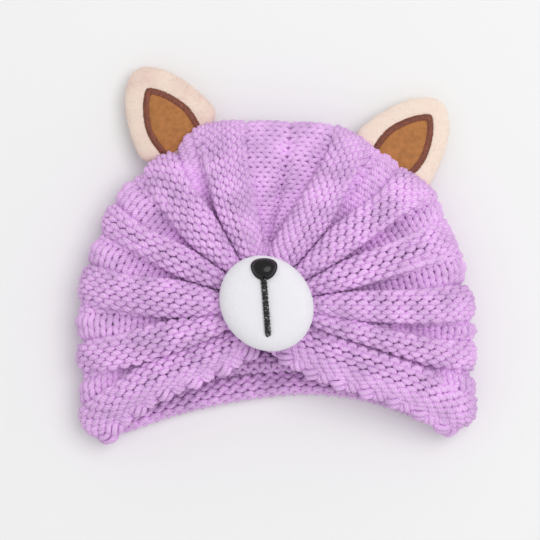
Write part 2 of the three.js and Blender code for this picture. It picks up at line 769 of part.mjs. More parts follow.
// The border's section: shares of its width and thickness.
const BORDER_SECTION = [
  { across: 0, lift: 0 },
  { across: 0, lift: 0.6 },
  { across: 0.25, lift: 1 },
  { across: 0.75, lift: 1 },
  { across: 1, lift: 0.6 },
  { across: 1, lift: 0 },
];

function earBorder(ear) {
  const place = earPlacer(ear);
  const lines = BORDER_SECTION.map(({ across }) => archLine(across * EAR.borderWidth));
  const rings = lines[0].map((_, k) => BORDER_SECTION.map(({ lift }, n) => {
    const { x, y } = lines[n][k];
    const fromTip = y + ear.patchStart;
    const under = plushFace(x - ear.plushShift, fromTip) + EAR.patchGap;
    return place(x, fromTip, under + lift * EAR.borderThickness);
  }));
  return cutAway(loft(rings), filledCap());
}

function earPatch(ear) {
  const place = earPlacer(ear);
  const sides = archLine(EAR.borderWidth + GAP).filter(({ x }) => x > PATCH.narrowest);
  const grid = (lift) => sides.map(({ x, y }) => Array.from({ length: PATCH.steps + 1 }, (_, k) => {
    const across = lerp(-x, x, k / PATCH.steps);
    const fromTip = y + ear.patchStart;
    return place(across, fromTip, plushFace(across - ear.plushShift, fromTip) + EAR.patchGap + lift);
  }));
  return cutAway(slab(grid(EAR.patchThickness), grid(0)), filledCap());
}

// ---------------------------------------------------------------------------------------------
// The assembly
// ---------------------------------------------------------------------------------------------

const YARN = new THREE.MeshStandardMaterial({ color: '#ce9ddc', roughness: 0.9, metalness: 0 });
const WHITE_PLUSH = new THREE.MeshStandardMaterial({ color: '#f0eef2', roughness: 0.95, metalness: 0 });
const CREAM_PLUSH = new THREE.MeshStandardMaterial({ color: '#f2e0d0', roughness: 0.95, metalness: 0 });
const OCHRE_CLOTH = new THREE.MeshStandardMaterial({ color: '#b97d46', roughness: 0.9, metalness: 0 });
const BROWN_THREAD = new THREE.MeshStandardMaterial({ color: '#784132', roughness: 0.6, metalness: 0 });
const BLACK_PLASTIC = new THREE.MeshStandardMaterial({ color: '#0c0b0d', roughness: 0.15, metalness: 0 });
const BLACK_THREAD = new THREE.MeshStandardMaterial({ color: '#121114', roughness: 0.7, metalness: 0 });

const turban = new THREE.Group();

function add(name, geometry, material) {
  const mesh = new THREE.Mesh(geometry, material);
  mesh.name = name;
  turban.add(mesh);
}

add('knit_cap', knitCap(0), YARN);
add('hem_edging', hemEdging(), YARN);
add('muzzle', muzzle(0), WHITE_PLUSH);
add('nose', nose(), BLACK_PLASTIC);
add('mouth_cord', mouthCord(), BLACK_THREAD);
for (const [side, ear] of Object.entries(EARS)) {
  add(`ear_${side}_plush`, earPlush(ear), CREAM_PLUSH);
  add(`ear_${side}_patch`, earPatch(ear), OCHRE_CLOTH);
  add(`ear_${side}_border`, earBorder(ear), BROWN_THREAD);
}

// The origin goes to the middle of the underside of the whole turban.
const box = new THREE.Box3().setFromObject(turban);
const centre = box.getCenter(new THREE.Vector3());
turban.position.set(-centre.x, -centre.y, -box.min.z);

export default turban;
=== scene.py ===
"""A chunky-knit baby turban with plush ears and a padded muzzle, lying on its back, face up.

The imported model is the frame. The knitted shell is worked again here stitch by stitch, as yarn that
follows the same bands, and the plush, cloth, thread and plastic get their own surfaces. Lengths in
the maker's tables are in millimetres, measured from the muzzle's centre: x to the right, y towards
the crown, z up from the floor.
"""

import functools
import math
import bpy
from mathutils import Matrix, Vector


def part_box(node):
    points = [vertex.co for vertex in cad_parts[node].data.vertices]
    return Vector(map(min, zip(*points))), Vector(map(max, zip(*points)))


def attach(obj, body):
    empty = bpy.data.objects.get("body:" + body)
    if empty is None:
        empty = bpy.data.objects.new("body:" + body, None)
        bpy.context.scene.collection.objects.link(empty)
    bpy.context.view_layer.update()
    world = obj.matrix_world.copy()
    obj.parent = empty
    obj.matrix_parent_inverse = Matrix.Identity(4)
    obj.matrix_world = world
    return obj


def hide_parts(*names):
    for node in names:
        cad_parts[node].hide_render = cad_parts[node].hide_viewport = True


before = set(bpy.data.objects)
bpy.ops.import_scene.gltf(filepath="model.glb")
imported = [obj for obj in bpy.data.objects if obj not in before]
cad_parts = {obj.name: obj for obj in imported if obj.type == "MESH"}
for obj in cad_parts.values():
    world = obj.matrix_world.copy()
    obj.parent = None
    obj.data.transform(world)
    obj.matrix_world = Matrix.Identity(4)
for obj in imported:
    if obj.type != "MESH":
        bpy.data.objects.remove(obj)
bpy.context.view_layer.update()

from types import SimpleNamespace as Sizes

import bpy
import numpy as np

bl_info = {
    "name": "Knitted baby turban",
    "version": (1, 0, 0),
    "blender": (4, 5, 0),
    "location": "3D View > Sidebar > Turban",
    "description": "Works the yarn, plush, cloth and plastic of a baby turban round its packed model",
    "category": "Object",
}

MM = 0.001
LOW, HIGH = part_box("muzzle")
ORIGIN = np.array([(LOW.x + HIGH.x) / 2, (LOW.y + HIGH.y) / 2, 0.0])
UPWARD = np.array([0.0, 0.0, 1.0])


def to_frame(points):
    """From the maker's millimetres to the frame's metres."""
    return np.asarray(points, float) * MM + ORIGIN


# The knitted shell's form

# The plain shell that the folds are raised on.
FORM = Sizes(
    rim=22.0,  # distance from the muzzle's centre at which the bands fan out
    gather_half_length=17.0,  # the line under the muzzle that all courses run to
    gather_height=36.0,
    dome_height=38.0,  # the front at the rim, and at the hem's rim
    hem_height=29.0,
    fold_height=15.0,  # the outline, and the hem's corners
    hem_fold_height=12.5,
    fold_depth=13.0,  # how far in the side folds reach underneath
    fold_share=0.75,  # and the most of a course behind that they take up
    back_height=1.4,
    dome_power=2.4,  # 2 for a round dome, more for a flatter one
)
BACK = Sizes(centre_x=5.0, hem_y=-43.0, seam_end_y=70.0, bend=0.55)
HEM_RISE = {"left": -5.0, "right": 4.5}  # the back hem's bend off its straight line
HEM_REACH = Sizes(height=0.3, back=0.25)  # shares of the courses that the hem's own form reaches
HEM_ROLL = Sizes(radius=2.9, courses=4, from_course=0.5)
# How far the hem rib's end bulges past the line between its corners, and how steeply.
HEM_END = {"left": (3.2, 1.0), "right": (3.4, 3.0)}
FABRIC = Sizes(
    middle=2.3,  # depth of the fabric's middle under its outer face
    outline_relief=0.2,  # height of the ribs at the outline, on the back and at the rim
    back_relief=2.2,
    rim_crest=4.2,
    near_power=1.1,  # how fast the height at the rim is lost
    pressed=0.55,  # how much of it the muzzle leaves
    fullness=0.33,  # how much of the spare cloth goes into a fold's depth
    deepest_rib=8.0,
    deepest_groove=8.5,
    plateau=2.5,  # over 2, a rib's top is flatter than an ellipse
    groove_power=0.8,  # under 1, a groove's floor is flatter than an arc
    spread_power=0.45,  # the same where the side folds spread it
    cleft=0.35,  # depth of the clefts beside the grooves at the side folds
    tuck=1.5,  # how far the boundaries of the open grooves lie under the ribs
    hem_swell=1.6,  # the hem rib's height, as a share of the others'
    hem_fullness=2.6,  # and its extra height away from the muzzle
    hem_power=0.9,
    crown_share=0.1,  # how much of its spare cloth deepens the crown panel
    shallowest_crown=0.3,  # as a share of the ribs' height
    deepest_crown=8.0,
    crown_lap=2.6,  # how far the last rib laps over the crown panel
    crown_level=-0.4,  # the crown panel's height beside it at the outline
    crown_dip=3.0,  # and its further depth on the front
    seam_depth=3.0,
    seam_width=0.07,  # as a share of the crown panel
    seam_outline=0.12,  # how much of its depth is left at the outline
)
# The lean of the fabric over its bands: shares of a band's width, and how steeply it dies away.
LEAN = Sizes(
    groove=(0.3, 1.5),
    rib=(0.4, 2),
    tucked=0.1,
    under=0.05,
    lip=(0.7, 0.16),  # how much of the tuck comes back as a lip, and where
    less_spread=0.7,  # how much less is tucked in at the side folds
    less_behind=0.8,  # how much less the grooves open behind
)
# Stretches of a course, from 0 at the rim over 1 at the side fold to 2 on the back.
FREED = (0, 0.15)  # the ribs rise from under the muzzle
INLAND = (0.8, 1)  # the crown panel's dip ends
SPREADING = (0.7, 1)  # the grooves spread out
FOLDED = (1.2, 1.8)  # and lie as they were
BEHIND = (1.3, 2)
# Columns in each part of a course; on the front they crowd together towards the side fold.
GRID = Sizes(gather_from=0.15, gather=15, front=64, crowded=1.6, fold=16, back=40, measured=60)

# From the front hem to the seam: a band's kind and its courses.
BANDS = [
    ("hem_welt", "welt", 6),
    ("groove_5", "groove", 3),
    ("welt_5", "welt", 5),
    ("groove_4", "groove", 3),
    ("welt_4", "welt", 6),
    ("groove_3", "groove", 3),
    ("welt_3", "welt", 5),
    ("groove_2", "groove", 3),
    ("welt_2", "welt", 6),
    ("groove_1", "groove", 3),
    ("welt_1", "welt", 6),
    ("crown_panel", "crown", 5),
]
COURSES = sum(courses for _, _, courses in BANDS)
FIRST_COURSE = [sum(courses for _, _, courses in BANDS[:k]) for k in range(len(BANDS) + 1)]

# Where along the front the ribs stop lapping over each groove, and where it lies quite open.
GROOVES_OPEN = {
    "left": {
        "groove_5": (0.45, 1.0),
        "groove_4": (0.25, 0.8),
        "groove_3": (0.2, 0.75),
        "groove_2": (0.2, 0.75),
        "groove_1": (0.25, 0.8),
        "crown_panel": (0.55, 1.0),
    },
    "right": {
        "groove_5": (0.68, 0.97),
        "groove_4": (0.15, 0.75),
        "groove_3": (0.12, 0.7),
        "groove_2": (0.15, 0.75),
        "groove_1": (0.25, 0.8),
        "crown_panel": (0.55, 1.0),
    },
}

# The lines between bands: degrees at the muzzle's rim, half way out and at the outline, and reach.
SEAM = (91, 82, 82.4, 86.3)
CREASES = {
    "left": np.array([
        (254, 218.6, 220.6, 98),
        (219, 207, 209, 98.8),
        (214, 206, 200.5, 94.6),
        (199, 191, 191.6, 91),
        (189, 185, 180, 89),
        (169.5, 167.4, 167.4, 87.4),
        (160.5, 160.5, 157, 85.8),
        (145, 147.4, 146.7, 87.4),
        (141, 141, 134, 86),
        (123, 122, 121, 85),
        (120, 117.5, 111, 89),
        (97, 98, 97, 86.2),
        SEAM,
    ]),
    "right": np.array([
        (-80, -36.8, -35.7, 105),
        (-30, -24, -23.4, 106.5),
        (-26, -21.5, -18.5, 103.2),
        (-15, -12.4, -10, 99.8),
        (-10, -9.6, -4.6, 99),
        (6, 6.8, 5.6, 95.9),
        (11, 11, 14.5, 93.9),
        (27, 27, 25.8, 92.4),
        (33, 31.5, 32.6, 95),
        (49, 45.6, 45.6, 90.5),
        (53.7, 54.2, 55, 89),
        (85, 66.5, 69, 89.9),
        SEAM,
    ]),
}


def mix(a, b, share):
    return a + (b - a) * share


def smoothstep(x, low, high):
    share = np.clip((np.asarray(x, float) - low) / (high - low), 0, 1)
    return share * share * (3 - 2 * share)


def unit(vectors):
    return vectors / np.maximum(np.linalg.norm(vectors, axis=-1, keepdims=True), 1e-9)


def square_to(vectors, way):
    """What is left of vectors without their part along a unit vector."""
    return vectors - (vectors * way).sum(-1, keepdims=True) * way


def softened(values, times):
    """Values evened out with those before and after them, the first and last kept."""
    values = values.copy()
    for _ in range(times):
        values[1:-1] = (values[:-2] + 2 * values[1:-1] + values[2:]) / 4
    return values


def line_length(line):
    """Distance along a line to each of its points."""
    return np.concatenate([[0], np.cumsum(np.linalg.norm(np.diff(line, axis=0), axis=1))])


def looked_up(at, marks, table):
    """Rows of a table at places between its marks."""
    return np.stack([np.interp(at, marks, column) for column in table.T], -1)


class Rows:
    """Places from hem to seam: the band, the share of the way through it and through all courses."""

    STEPS = 24

    def __init__(self):
        band, within = [], []
        for k, (_, kind, _) in enumerate(BANDS):
            steps = np.arange(self.STEPS) / self.STEPS
            band += [k] * self.STEPS
            within += list(0.5 - 0.5 * np.cos(np.pi * steps) if kind == "welt" else steps)
        self.band = np.array(band + [len(BANDS) - 1])
        self.within = np.array(within + [1.0])
        courses = np.array([c for _, _, c in BANDS])[self.band]
        first = np.array(FIRST_COURSE)[self.band]
        self.climb = ((first + self.within * courses) / COURSES)[:, None]


class Columns:
    """Places along a course on one side: under the muzzle, over the front, round the fold, behind."""

    def __init__(self, side):
        gather = np.linspace(GRID.gather_from, 1, GRID.gather)[:-1]
        front = 1 - (1 - np.linspace(0, 1, GRID.front)) ** GRID.crowded
        fold = np.linspace(0, 1, GRID.fold)[1:]
        back = np.linspace(0, 1, GRID.back)[1:]
        self.parts = {"gather": gather, "front": front, "fold": fold, "back": back}
        self.along = np.concatenate([gather - 1, front, 1 + fold, 2 + back])
        on_front = np.clip(self.along, 0, 1)
        self.gathered = np.clip(self.along + 1, 0, 1)
        self.near = (1 - on_front) ** FABRIC.near_power
        self.freed = smoothstep(on_front, *FREED)
        self.on_back = np.clip(self.along - 1, 0, 1)
        self.behind = smoothstep(self.along, *BEHIND)
        self.open = {
            name: smoothstep(self.along, *opening) * (1 - LEAN.less_behind * self.behind)
            for name, opening in GROOVES_OPEN[side].items()
        }
        self.spread = smoothstep(self.along, *SPREADING) * (1 - smoothstep(self.along, *FOLDED))


def front_plan(side, rows, out):
    """Places on the front in plan, by share of the way out from the rim."""
    lines = mix(CREASES[side][rows.band], CREASES[side][rows.band + 1], rows.within[:, None])
    bulge, power = HEM_END[side]
    lines[:, 3] += np.where(rows.band == 0, bulge * np.sin(np.pi * rows.within) ** power, 0)
    rim, middle, outline, reach = lines.T[..., None]
    rim_share, outline_share = (1 - out) ** 3, out**3
    degrees = rim_share * rim + (1 - rim_share - outline_share) * middle + outline_share * outline
    distance = mix(FORM.rim, reach, out)
    angle = np.radians(degrees)
    return np.stack([distance * np.cos(angle), distance * np.sin(angle)], -1)


def base_side(side, rows, columns):
    """The shell's outside before its ribs, one side of it: rows by columns by xyz."""
    from_hem = smoothstep(rows.climb, 0, HEM_REACH.height)
    top = mix(FORM.hem_height, FORM.dome_height, from_hem)
    fold = mix(FORM.hem_fold_height, FORM.fold_height, from_hem)
    parts = columns.parts

    half = FORM.gather_half_length
    start = np.stack([0 * rows.climb, mix(-half, half, rows.climb)], -1)
    rim = front_plan(side, rows, np.zeros(1))
    gather = mix(start, rim, parts["gather"][None, :, None])
    gather_z = mix(np.minimum(FORM.gather_height, top), top, parts["gather"])

    front = front_plan(side, rows, parts["front"])
    front_z = mix(fold, top, np.sqrt(1 - parts["front"] ** FORM.dome_power))

    begin = front_plan(side, rows, np.ones(1))[:, 0]
    y = mix(BACK.hem_y, BACK.seam_end_y, rows.climb[:, 0])
    rise = HEM_RISE[side] * (1 - smoothstep(rows.climb[:, 0], 0, HEM_REACH.back))
    bend = np.stack([begin[:, 0] * BACK.bend, y + rise], -1)
    end = np.stack([0 * y + BACK.centre_x, y], -1)

    def course(share):
        u = share[..., None]
        return (1 - u) ** 2 * begin[:, None] + 2 * (1 - u) * u * bend[:, None] + u**2 * end[:, None]

    sampled = course(np.linspace(0, 1, GRID.measured)[None, :] + 0 * rows.climb)
    length = np.linalg.norm(np.diff(sampled, axis=1), axis=-1).sum(1)[:, None]
    depth = np.minimum(FORM.fold_depth, FORM.fold_share * length) / length
    turn = parts["fold"][None, :] * (np.pi / 2)
    round_fold = course(depth * (1 - np.cos(turn)))
    round_z = mix(fold, FORM.back_height, np.sin(turn))
    behind = course(mix(depth, 1, parts["back"][None, :]))
    behind_z = FORM.back_height + 0 * behind[..., 0]

    plans = np.concatenate([gather, front, round_fold, behind], 1)
    heights = np.concatenate([gather_z, front_z, round_z, behind_z], 1)
    return np.concatenate([plans, heights[..., None]], -1)


def band_widths(base):
    """Each band's width across the courses, at each place along them."""
    widths = []
    for start in range(0, len(BANDS) * Rows.STEPS, Rows.STEPS):
        along = unit(np.gradient(base[start + Rows.STEPS // 2], axis=0))
        across = square_to(base[start + Rows.STEPS] - base[start], along)
        widths.append(np.linalg.norm(across, axis=-1))
    return np.array(widths)


def fold_depths(widths, course_height):
    """How deep each band has to stand or sink so that its courses fit into its width."""
    cloth = np.array([courses for _, _, courses in BANDS])[:, None] * course_height
    spare = np.maximum(cloth - widths, 0)
    return FABRIC.fullness * (spare + np.sqrt(spare * (cloth + widths)))


def relief_side(widths, rows, columns, course_height):
    """Height of the outer face over the base."""
    plain = mix(FABRIC.outline_relief, FABRIC.back_relief, columns.on_back)
    crest = mix(plain, FABRIC.rim_crest, columns.near) * mix(FABRIC.pressed, 1, columns.freed)
    depths = fold_depths(widths, course_height)
    spread = columns.spread
    inland = 1 - smoothstep(columns.along, *INLAND)
    tops, levels = {}, {0: 0 * crest}
    for k, (_, kind, _) in enumerate(BANDS):
        if kind != "welt":
            continue
        tops[k] = crest
        if k == 0:
            full = FABRIC.hem_fullness * (1 - columns.near) * (1 - columns.on_back)
            tops[k] = crest * mix(FABRIC.hem_swell, 1, columns.near) + full
        level = tops[k] - np.clip(depths[k], tops[k], FABRIC.deepest_rib)
        level = mix(level, np.minimum(level, -FABRIC.cleft), spread)
        levels.setdefault(k, level)
        levels[k + 1] = level
    last = len(BANDS) - 1
    shallowest = FABRIC.shallowest_crown * plain
    crown = np.clip(FABRIC.crown_share * depths[last], shallowest, FABRIC.deepest_crown)
    levels[last] = mix(levels[last], FABRIC.crown_level, spread) - FABRIC.crown_dip * inland
    levels[last + 1] = levels[last] - crown

    heights = np.zeros((len(rows.band), len(crest)))
    for k, (_, kind, _) in enumerate(BANDS):
        here = rows.band == k
        t = rows.within[here][:, None]
        level = mix(levels[k], levels[k + 1], t)
        if kind == "welt":
            power = FABRIC.plateau
            arch = np.maximum(1 - np.abs(2 * t - 1) ** power, 0) ** (1 / power)
            if k == 0:
                arch = np.where(t < 0.5, np.sin(np.pi * t) ** FABRIC.hem_power, arch)
            heights[here] = level + (tops[k] - level) * arch
        elif kind == "groove":
            middle = (levels[k] + levels[k + 1]) / 2
            sunk = middle - np.clip(depths[k], plain, FABRIC.deepest_groove)
            shape = np.sin(np.pi * t) ** mix(FABRIC.groove_power, FABRIC.spread_power, spread)
            heights[here] = level + (mix(sunk, 0, spread) - middle) * shape
        else:
            level = mix(levels[k], levels[k + 1], (t + smoothstep(t, 0, 1)) / 2)
            valley = FABRIC.seam_depth * np.exp(-(((1 - t) / FABRIC.seam_width) ** 2))
            heights[here] = level - valley * mix(FABRIC.seam_outline, 1, inland)
    return heights * columns.gathered


def overhang_side(widths, rows, columns):
    """How far the fabric leans across its bands, towards the seam.

    Near the muzzle the ribs lean over the grooves and close them. Further out each boundary is tucked
    in under its rib.
    """

    def closing(lap, from_edge, reach, power):
        return lap * np.maximum(1 - from_edge / reach, 0) ** power

    heading = np.zeros((len(rows.band), widths.shape[1]))
    lip, lip_at = LEAN.lip
    loose = (1 - LEAN.less_spread * columns.spread) * (1 - columns.behind)
    for k, (name, kind, _) in enumerate(BANDS):
        if kind == "welt":
            continue
        wide = widths[k] / 2 if kind == "groove" else FABRIC.crown_lap
        lap = (1 - columns.open[name]) * wide
        tuck = FABRIC.tuck * columns.open[name] * loose
        for rib, towards in [(k - 1, 1), (k + 1, -1)][: 1 if kind == "crown" else 2]:
            inside, beside = rows.band == k, rows.band == rib
            t = rows.within[inside][:, None]
            from_edge = t if towards > 0 else 1 - t
            tucked = np.exp(-((from_edge / LEAN.tucked) ** 2))
            heading[inside] += towards * (closing(lap, from_edge, *LEAN.groove) - tuck * tucked)
            t = rows.within[beside][:, None]
            from_edge = 1 - t if towards > 0 else t
            out = lip * (from_edge / lip_at * np.exp(1 - from_edge / lip_at))
            under = np.exp(-((from_edge / LEAN.under) ** 2))
            heading[beside] += towards * (closing(lap, from_edge, *LEAN.rib) + tuck * (out - under))
    return heading * columns.gathered


def grid_normals(points):
    return unit(np.cross(np.gradient(points, axis=0), np.gradient(points, axis=1)))


class KnitSurface:
    """The middle of the fabric, by course from hem to seam and by place along the course.

    Along runs from the muzzle's left rim at 0 over the left front to the left fold at 1, onto the back
    at 2, across its middle at 3, off it at 4, over the right fold at 5 and back to the rim at 6.
    Courses under 0 are the hem rolled in behind.
    """

    PER_COURSE = 6
    SOFTENED = 6  # times that the normals are

    def __init__(self, course_height):
        rows = Rows()
        self.course_height = course_height
        halves = []
        for side in ("left", "right"):
            columns = Columns(side)
            base = base_side(side, rows, columns)
            widths = band_widths(base)
            relief = relief_side(widths, rows, columns, course_height)
            halves.append((base, relief, overhang_side(widths, rows, columns)))
        crown = rows.band == len(BANDS) - 1
        seam = (halves[0][1][-1] + halves[1][1][-1]) / 2
        for _, relief, _ in halves:
            relief[crown] += (seam - relief[-1]) * rows.within[crown][:, None]
        base, relief, lean = (np.concatenate([a, b[:, -2::-1]], 1) for a, b in zip(*halves))
        self.along = np.concatenate([columns.along, 6 - columns.along[-2::-1]])

        along, climb = unit(np.gradient(base, axis=1)), np.gradient(base, axis=0)
        across = unit(square_to(climb, along))
        outer = base + grid_normals(base) * relief[..., None] + across * lean[..., None]
        outer[..., 2] = np.maximum(outer[..., 2], 0)
        normals = unit(softened(grid_normals(outer), self.SOFTENED))
        normals[-1] = unit(normals[-1] + normals[-1][::-1])  # shared by the two sides of the seam
        self.grid = self.evenly(rows, outer - normals * FABRIC.middle, normals)
        self.add_hem_roll()

    def evenly(self, rows, middle, normals):
        """The same surface on rows spaced by courses, which are equally tall all over a fold."""
        count = middle.shape[1]
        climbed = np.stack([line_length(middle[:, c]) for c in range(count)], 1)
        bands = range(len(BANDS) - 1)
        marks = [0, *(k * Rows.STEPS + Rows.STEPS // 2 for k in bands), len(rows.band) - 1]
        courses = [0, *(FIRST_COURSE[k] + BANDS[k][2] / 2 for k in bands), COURSES]
        wanted = np.arange(COURSES * self.PER_COURSE + 1) / self.PER_COURSE
        index = np.arange(len(rows.band))
        grid = np.concatenate([middle, normals], -1)
        even = []
        for c in range(count):
            course = np.interp(climbed[:, c], climbed[marks, c], courses)
            even.append(looked_up(np.interp(wanted, course, index), index, grid[:, c]))
        even = np.stack(even, 1)
        even[..., 3:] = unit(even[..., 3:])
        return even

    def add_hem_roll(self):
        """Courses before the first, curled in over the inside."""
        radius, count = HEM_ROLL.radius, HEM_ROLL.courses
        kept = round(HEM_ROLL.from_course * self.PER_COURSE)
        start, normal = self.grid[kept, :, :3], self.grid[kept, :, 3:]
        off = square_to(start - self.grid[kept + 3, :, :3], normal)
        off = unit(square_to(off, unit(np.gradient(start, axis=0))))
        rolled = []
        for step in range(kept + count * self.PER_COURSE, 0, -1):
            gone = step / self.PER_COURSE * self.course_height
            turn = min(gone / radius, math.pi)
            flat = max(gone - math.pi * radius, 0)
            lift = radius * (1 - math.cos(turn))
            place = start - normal * lift + off * (radius * math.sin(turn) - flat)
            facing = normal * math.cos(turn) + off * math.sin(turn)
            rolled.append(np.concatenate([place, facing], -1))
        self.grid = np.concatenate([rolled, self.grid[kept:]])

    def at(self, course, along):
        """Points and outward normals at places given by course and along.

        Courses past the seam are those of the other side, on from it.
        """
        over = course > COURSES
        course, along = np.where(over, 2 * COURSES - course, course), np.where(over, 6 - along, along)
        rows, columns = self.grid.shape[:2]
        r = np.clip((course + HEM_ROLL.courses) * self.PER_COURSE, 0, rows - 1.001)
        c = np.clip(np.interp(along, self.along, np.arange(columns)), 0, columns - 1.001)
        r0, c0 = r.astype(int), c.astype(int)
        fr, fc = (r - r0)[..., None], (c - c0)[..., None]
        near = mix(self.grid[r0, c0], self.grid[r0, c0 + 1], fc)
        far = mix(self.grid[r0 + 1, c0], self.grid[r0 + 1, c0 + 1], fc)
        found = mix(near, far, fr)
        return found[..., :3], unit(found[..., 3:])


# Yarn

STITCHES = Sizes(
    parts=4,  # places given for each stitch
    ends=(-0.5, -0.85),  # where courses end under the muzzle, and those that can be seen there
    seen_under=4,  # the bands that can be
    fold=4,  # stitches round a side fold
    most_behind=20,  # and at most on each half of the back
    back_width=5.5,
    rim_width=5.2,
    outline_width=6.2,
    widens_over=70.0,
    crown_share=0.76,  # how much narrower they are beside the seam
    crown_from=(0.5, 0.95),  # the shares of all courses over which they narrow
    short_before=-2,  # the courses of the rolled hem that are short, and where they run
    short=(1.4, 4.6),
    measured=(90, 81),  # places looked at along a front and the back
)
LOOP = Sizes(
    points={"front": 15, "back": 8},  # of the yarn in each stitch
    swing={"welt": 0.21, "groove": 0.18, "crown": 0.25},  # to the sides, in stitches
    reach=0.77,  # up and down, in courses
    square=0.6,  # 0 for loops as round as waves, 1 for flat bars with steep legs
    thinned={"welt": 1.0, "groove": 0.95, "crown": 0.84},
    slant=-0.07,  # how far the purled bumps tilt
    stand=1.1,  # in and out, in half thicknesses
    fluffed=(50.0, 95.0, 0.12),  # fuller yarn away from the muzzle: from, to and by
    swell={"welt": 0.12, "groove": 0.28, "crown": 0.12},  # fatter yarn where it stands outside
)
SEAM_YARN = Sizes(start=-0.4, sway=0.22, step=2.3, depth=0.6, points=500)
YARN_SIDES = 8
EVENED = 4  # times that the frames along a thread are softened


def band_of(course):
    return int(np.searchsorted(FIRST_COURSE, np.clip(course, 0, COURSES - 1), side="right")) - 1


def front_places(surface, band, mirrored):
    """Where the stitches of a band begin on a front, from the side fold in to under the muzzle.

    They are counted along the band's middle, or along the seam, so that its courses line up.
    """
    _, kind, courses = BANDS[band]
    counted_on = COURSES if kind == "crown" else FIRST_COURSE[band] + courses / 2
    along = np.linspace(1, STITCHES.ends[int(band < STITCHES.seen_under)], STITCHES.measured[0])
    points, _ = surface.at(counted_on + 0 * along, 6 - along if mirrored else along)
    distance = np.linalg.norm(points[1:, :2], axis=1)
    out = np.clip((distance - FORM.rim) / STITCHES.widens_over, 0, 1)
    width = mix(STITCHES.rim_width, STITCHES.outline_width, out)
    narrowing = smoothstep(counted_on / COURSES, *STITCHES.crown_from)
    width = width * mix(1, STITCHES.crown_share, narrowing)
    steps = np.linalg.norm(np.diff(points, axis=0), axis=1)
    counted = np.concatenate([[0], np.cumsum(steps / width)])
    return np.interp(np.arange(math.floor(counted[-1]), 0, -1 / STITCHES.parts), counted, along)


def stitch_places(surface, course):
    """Places along one course, the same number of them in every stitch."""
    parts, band = STITCHES.parts, band_of(course)
    fold = 1 + np.arange(STITCHES.fold * parts) / (STITCHES.fold * parts)
    left, right = (np.concatenate([front_places(surface, band, side), fold]) for side in (False, True))
    behind = np.linspace(2, 4, STITCHES.measured[1])
    across = surface.at(course + 0 * behind, behind)[0][:, 0]
    width, most = STITCHES.back_width, STITCHES.most_behind
    numbers = np.arange(-most, most + 1) * width + BACK.centre_x
    inside = (numbers > across[0] + width / 2) & (numbers < across[-1] - width / 2)
    back = np.concatenate([[2], np.interp(numbers[inside], across, behind), [4]])
    back = np.interp(np.arange((len(back) - 1) * parts + 1) / parts, np.arange(len(back)), back)
    return np.concatenate([left, back, 6 - right[::-1]])


def faces_out(course):
    """1 where a course's loops are purled, so that they stand on the outside, or -1."""
    return 1.0 if BANDS[band_of(course)][1] == "welt" else -1.0


def yarn_path(surface, course, places, faces, half_thickness):
    """Centre, outward direction and half thickness along the yarn of one course.

    Its feet lie as its own stitches do, and its heads as those of the next course, drawn through them.
    """
    begins = places[: -1 : STITCHES.parts]
    counts = [LOOP.points["back" if 2 <= place < 4 else "front"] for place in begins]
    turn = np.concatenate([2 * np.pi * (k + np.arange(n) / n) for k, n in enumerate(counts)])
    turn = np.append(turn, 2 * np.pi * len(counts))
    kind = BANDS[band_of(course)][1]
    stitch = turn / (2 * np.pi) + LOOP.swing[kind] * np.sin(2 * turn)
    along = np.interp(stitch * STITCHES.parts, np.arange(len(places)), places)
    climb = mix(np.cos(turn), np.sin(0.5 * np.pi * np.cos(turn)), LOOP.square)
    if faces[0] > 0:
        climb = climb + LOOP.slant * np.sin(2 * turn)
    centre, normal = surface.at(course + LOOP.reach * climb, along)
    face = mix(faces[0], faces[1], 0.5 + 0.5 * np.cos(turn)) * np.cos(2 * turn)
    centre = centre + normal * (face * LOOP.stand * half_thickness)[:, None]
    start, end, by = LOOP.fluffed
    fluffed = 1 + by * smoothstep(np.linalg.norm(centre[:, :2], axis=1), start, end)
    swell = 1 + LOOP.swell[kind] * np.maximum(face, 0)
    radius = LOOP.thinned[kind] * half_thickness * swell * fluffed
    centre[:, 2] = np.maximum(centre[:, 2], radius)
    return centre, normal, radius


def angles(count):
    return 2 * np.pi * np.arange(count) / count


def tube(centre, normal, radius, sides):
    """Rings round a line, and its length in millimetres at each."""
    forward = unit(np.gradient(centre, axis=0))
    up = unit(square_to(softened(square_to(normal, forward), EVENED), forward))
    across = np.cross(forward, up)
    turn = angles(sides)[:, None]
    radius = np.broadcast_to(radius, (len(centre),))[:, None, None]
    rings = centre[:, None] + radius * (across[:, None] * np.cos(turn) + up[:, None] * np.sin(turn))
    return rings, line_length(centre)


def corners(grid):
    """The four corners of every cell of a grid, in order round it."""
    return grid[:-1, :-1], grid[:-1, 1:], grid[1:, 1:], grid[1:, :-1]


def closed(rings):
    """Rings with their first place once more at their end."""
    return np.concatenate([rings, rings[:, :1]], 1)


def woven(name, tubes):
    """One mesh of tubes given by rings and the length at each, with their ends closed.

    The mesh keeps the length and the share of the way round as its coordinates.
    """
    points, quads, caps, places, count = [], [], [], [], 0
    for rings, length in tubes:
        steps, sides = rings.shape[:2]
        index = closed(count + np.arange(steps * sides).reshape(steps, sides))
        grid = np.stack(np.meshgrid(length, np.arange(sides + 1) / sides, indexing="ij"), -1)
        quads.append(np.stack(corners(index), -1).reshape(-1, 4))
        places.append(np.stack(corners(grid), 2).reshape(-1, 4, 2))
        points += [rings.reshape(-1, 3), [rings[0].mean(0), rings[-1].mean(0)]]
        end = np.full(sides, count + steps * sides)
        caps.append(np.stack([index[0, 1:], index[0, :-1], end], -1))
        caps.append(np.stack([index[-1, :-1], index[-1, 1:], end + 1], -1))
        count += steps * sides + 2
    faces = [np.concatenate(quads), np.concatenate(caps)]
    places = [np.concatenate(places), np.zeros((len(faces[1]), 3, 2))]
    return mesh_object(name, np.concatenate(points), faces, places)


def shell(name, rings):
    return woven(name, [(rings, np.arange(len(rings)))])


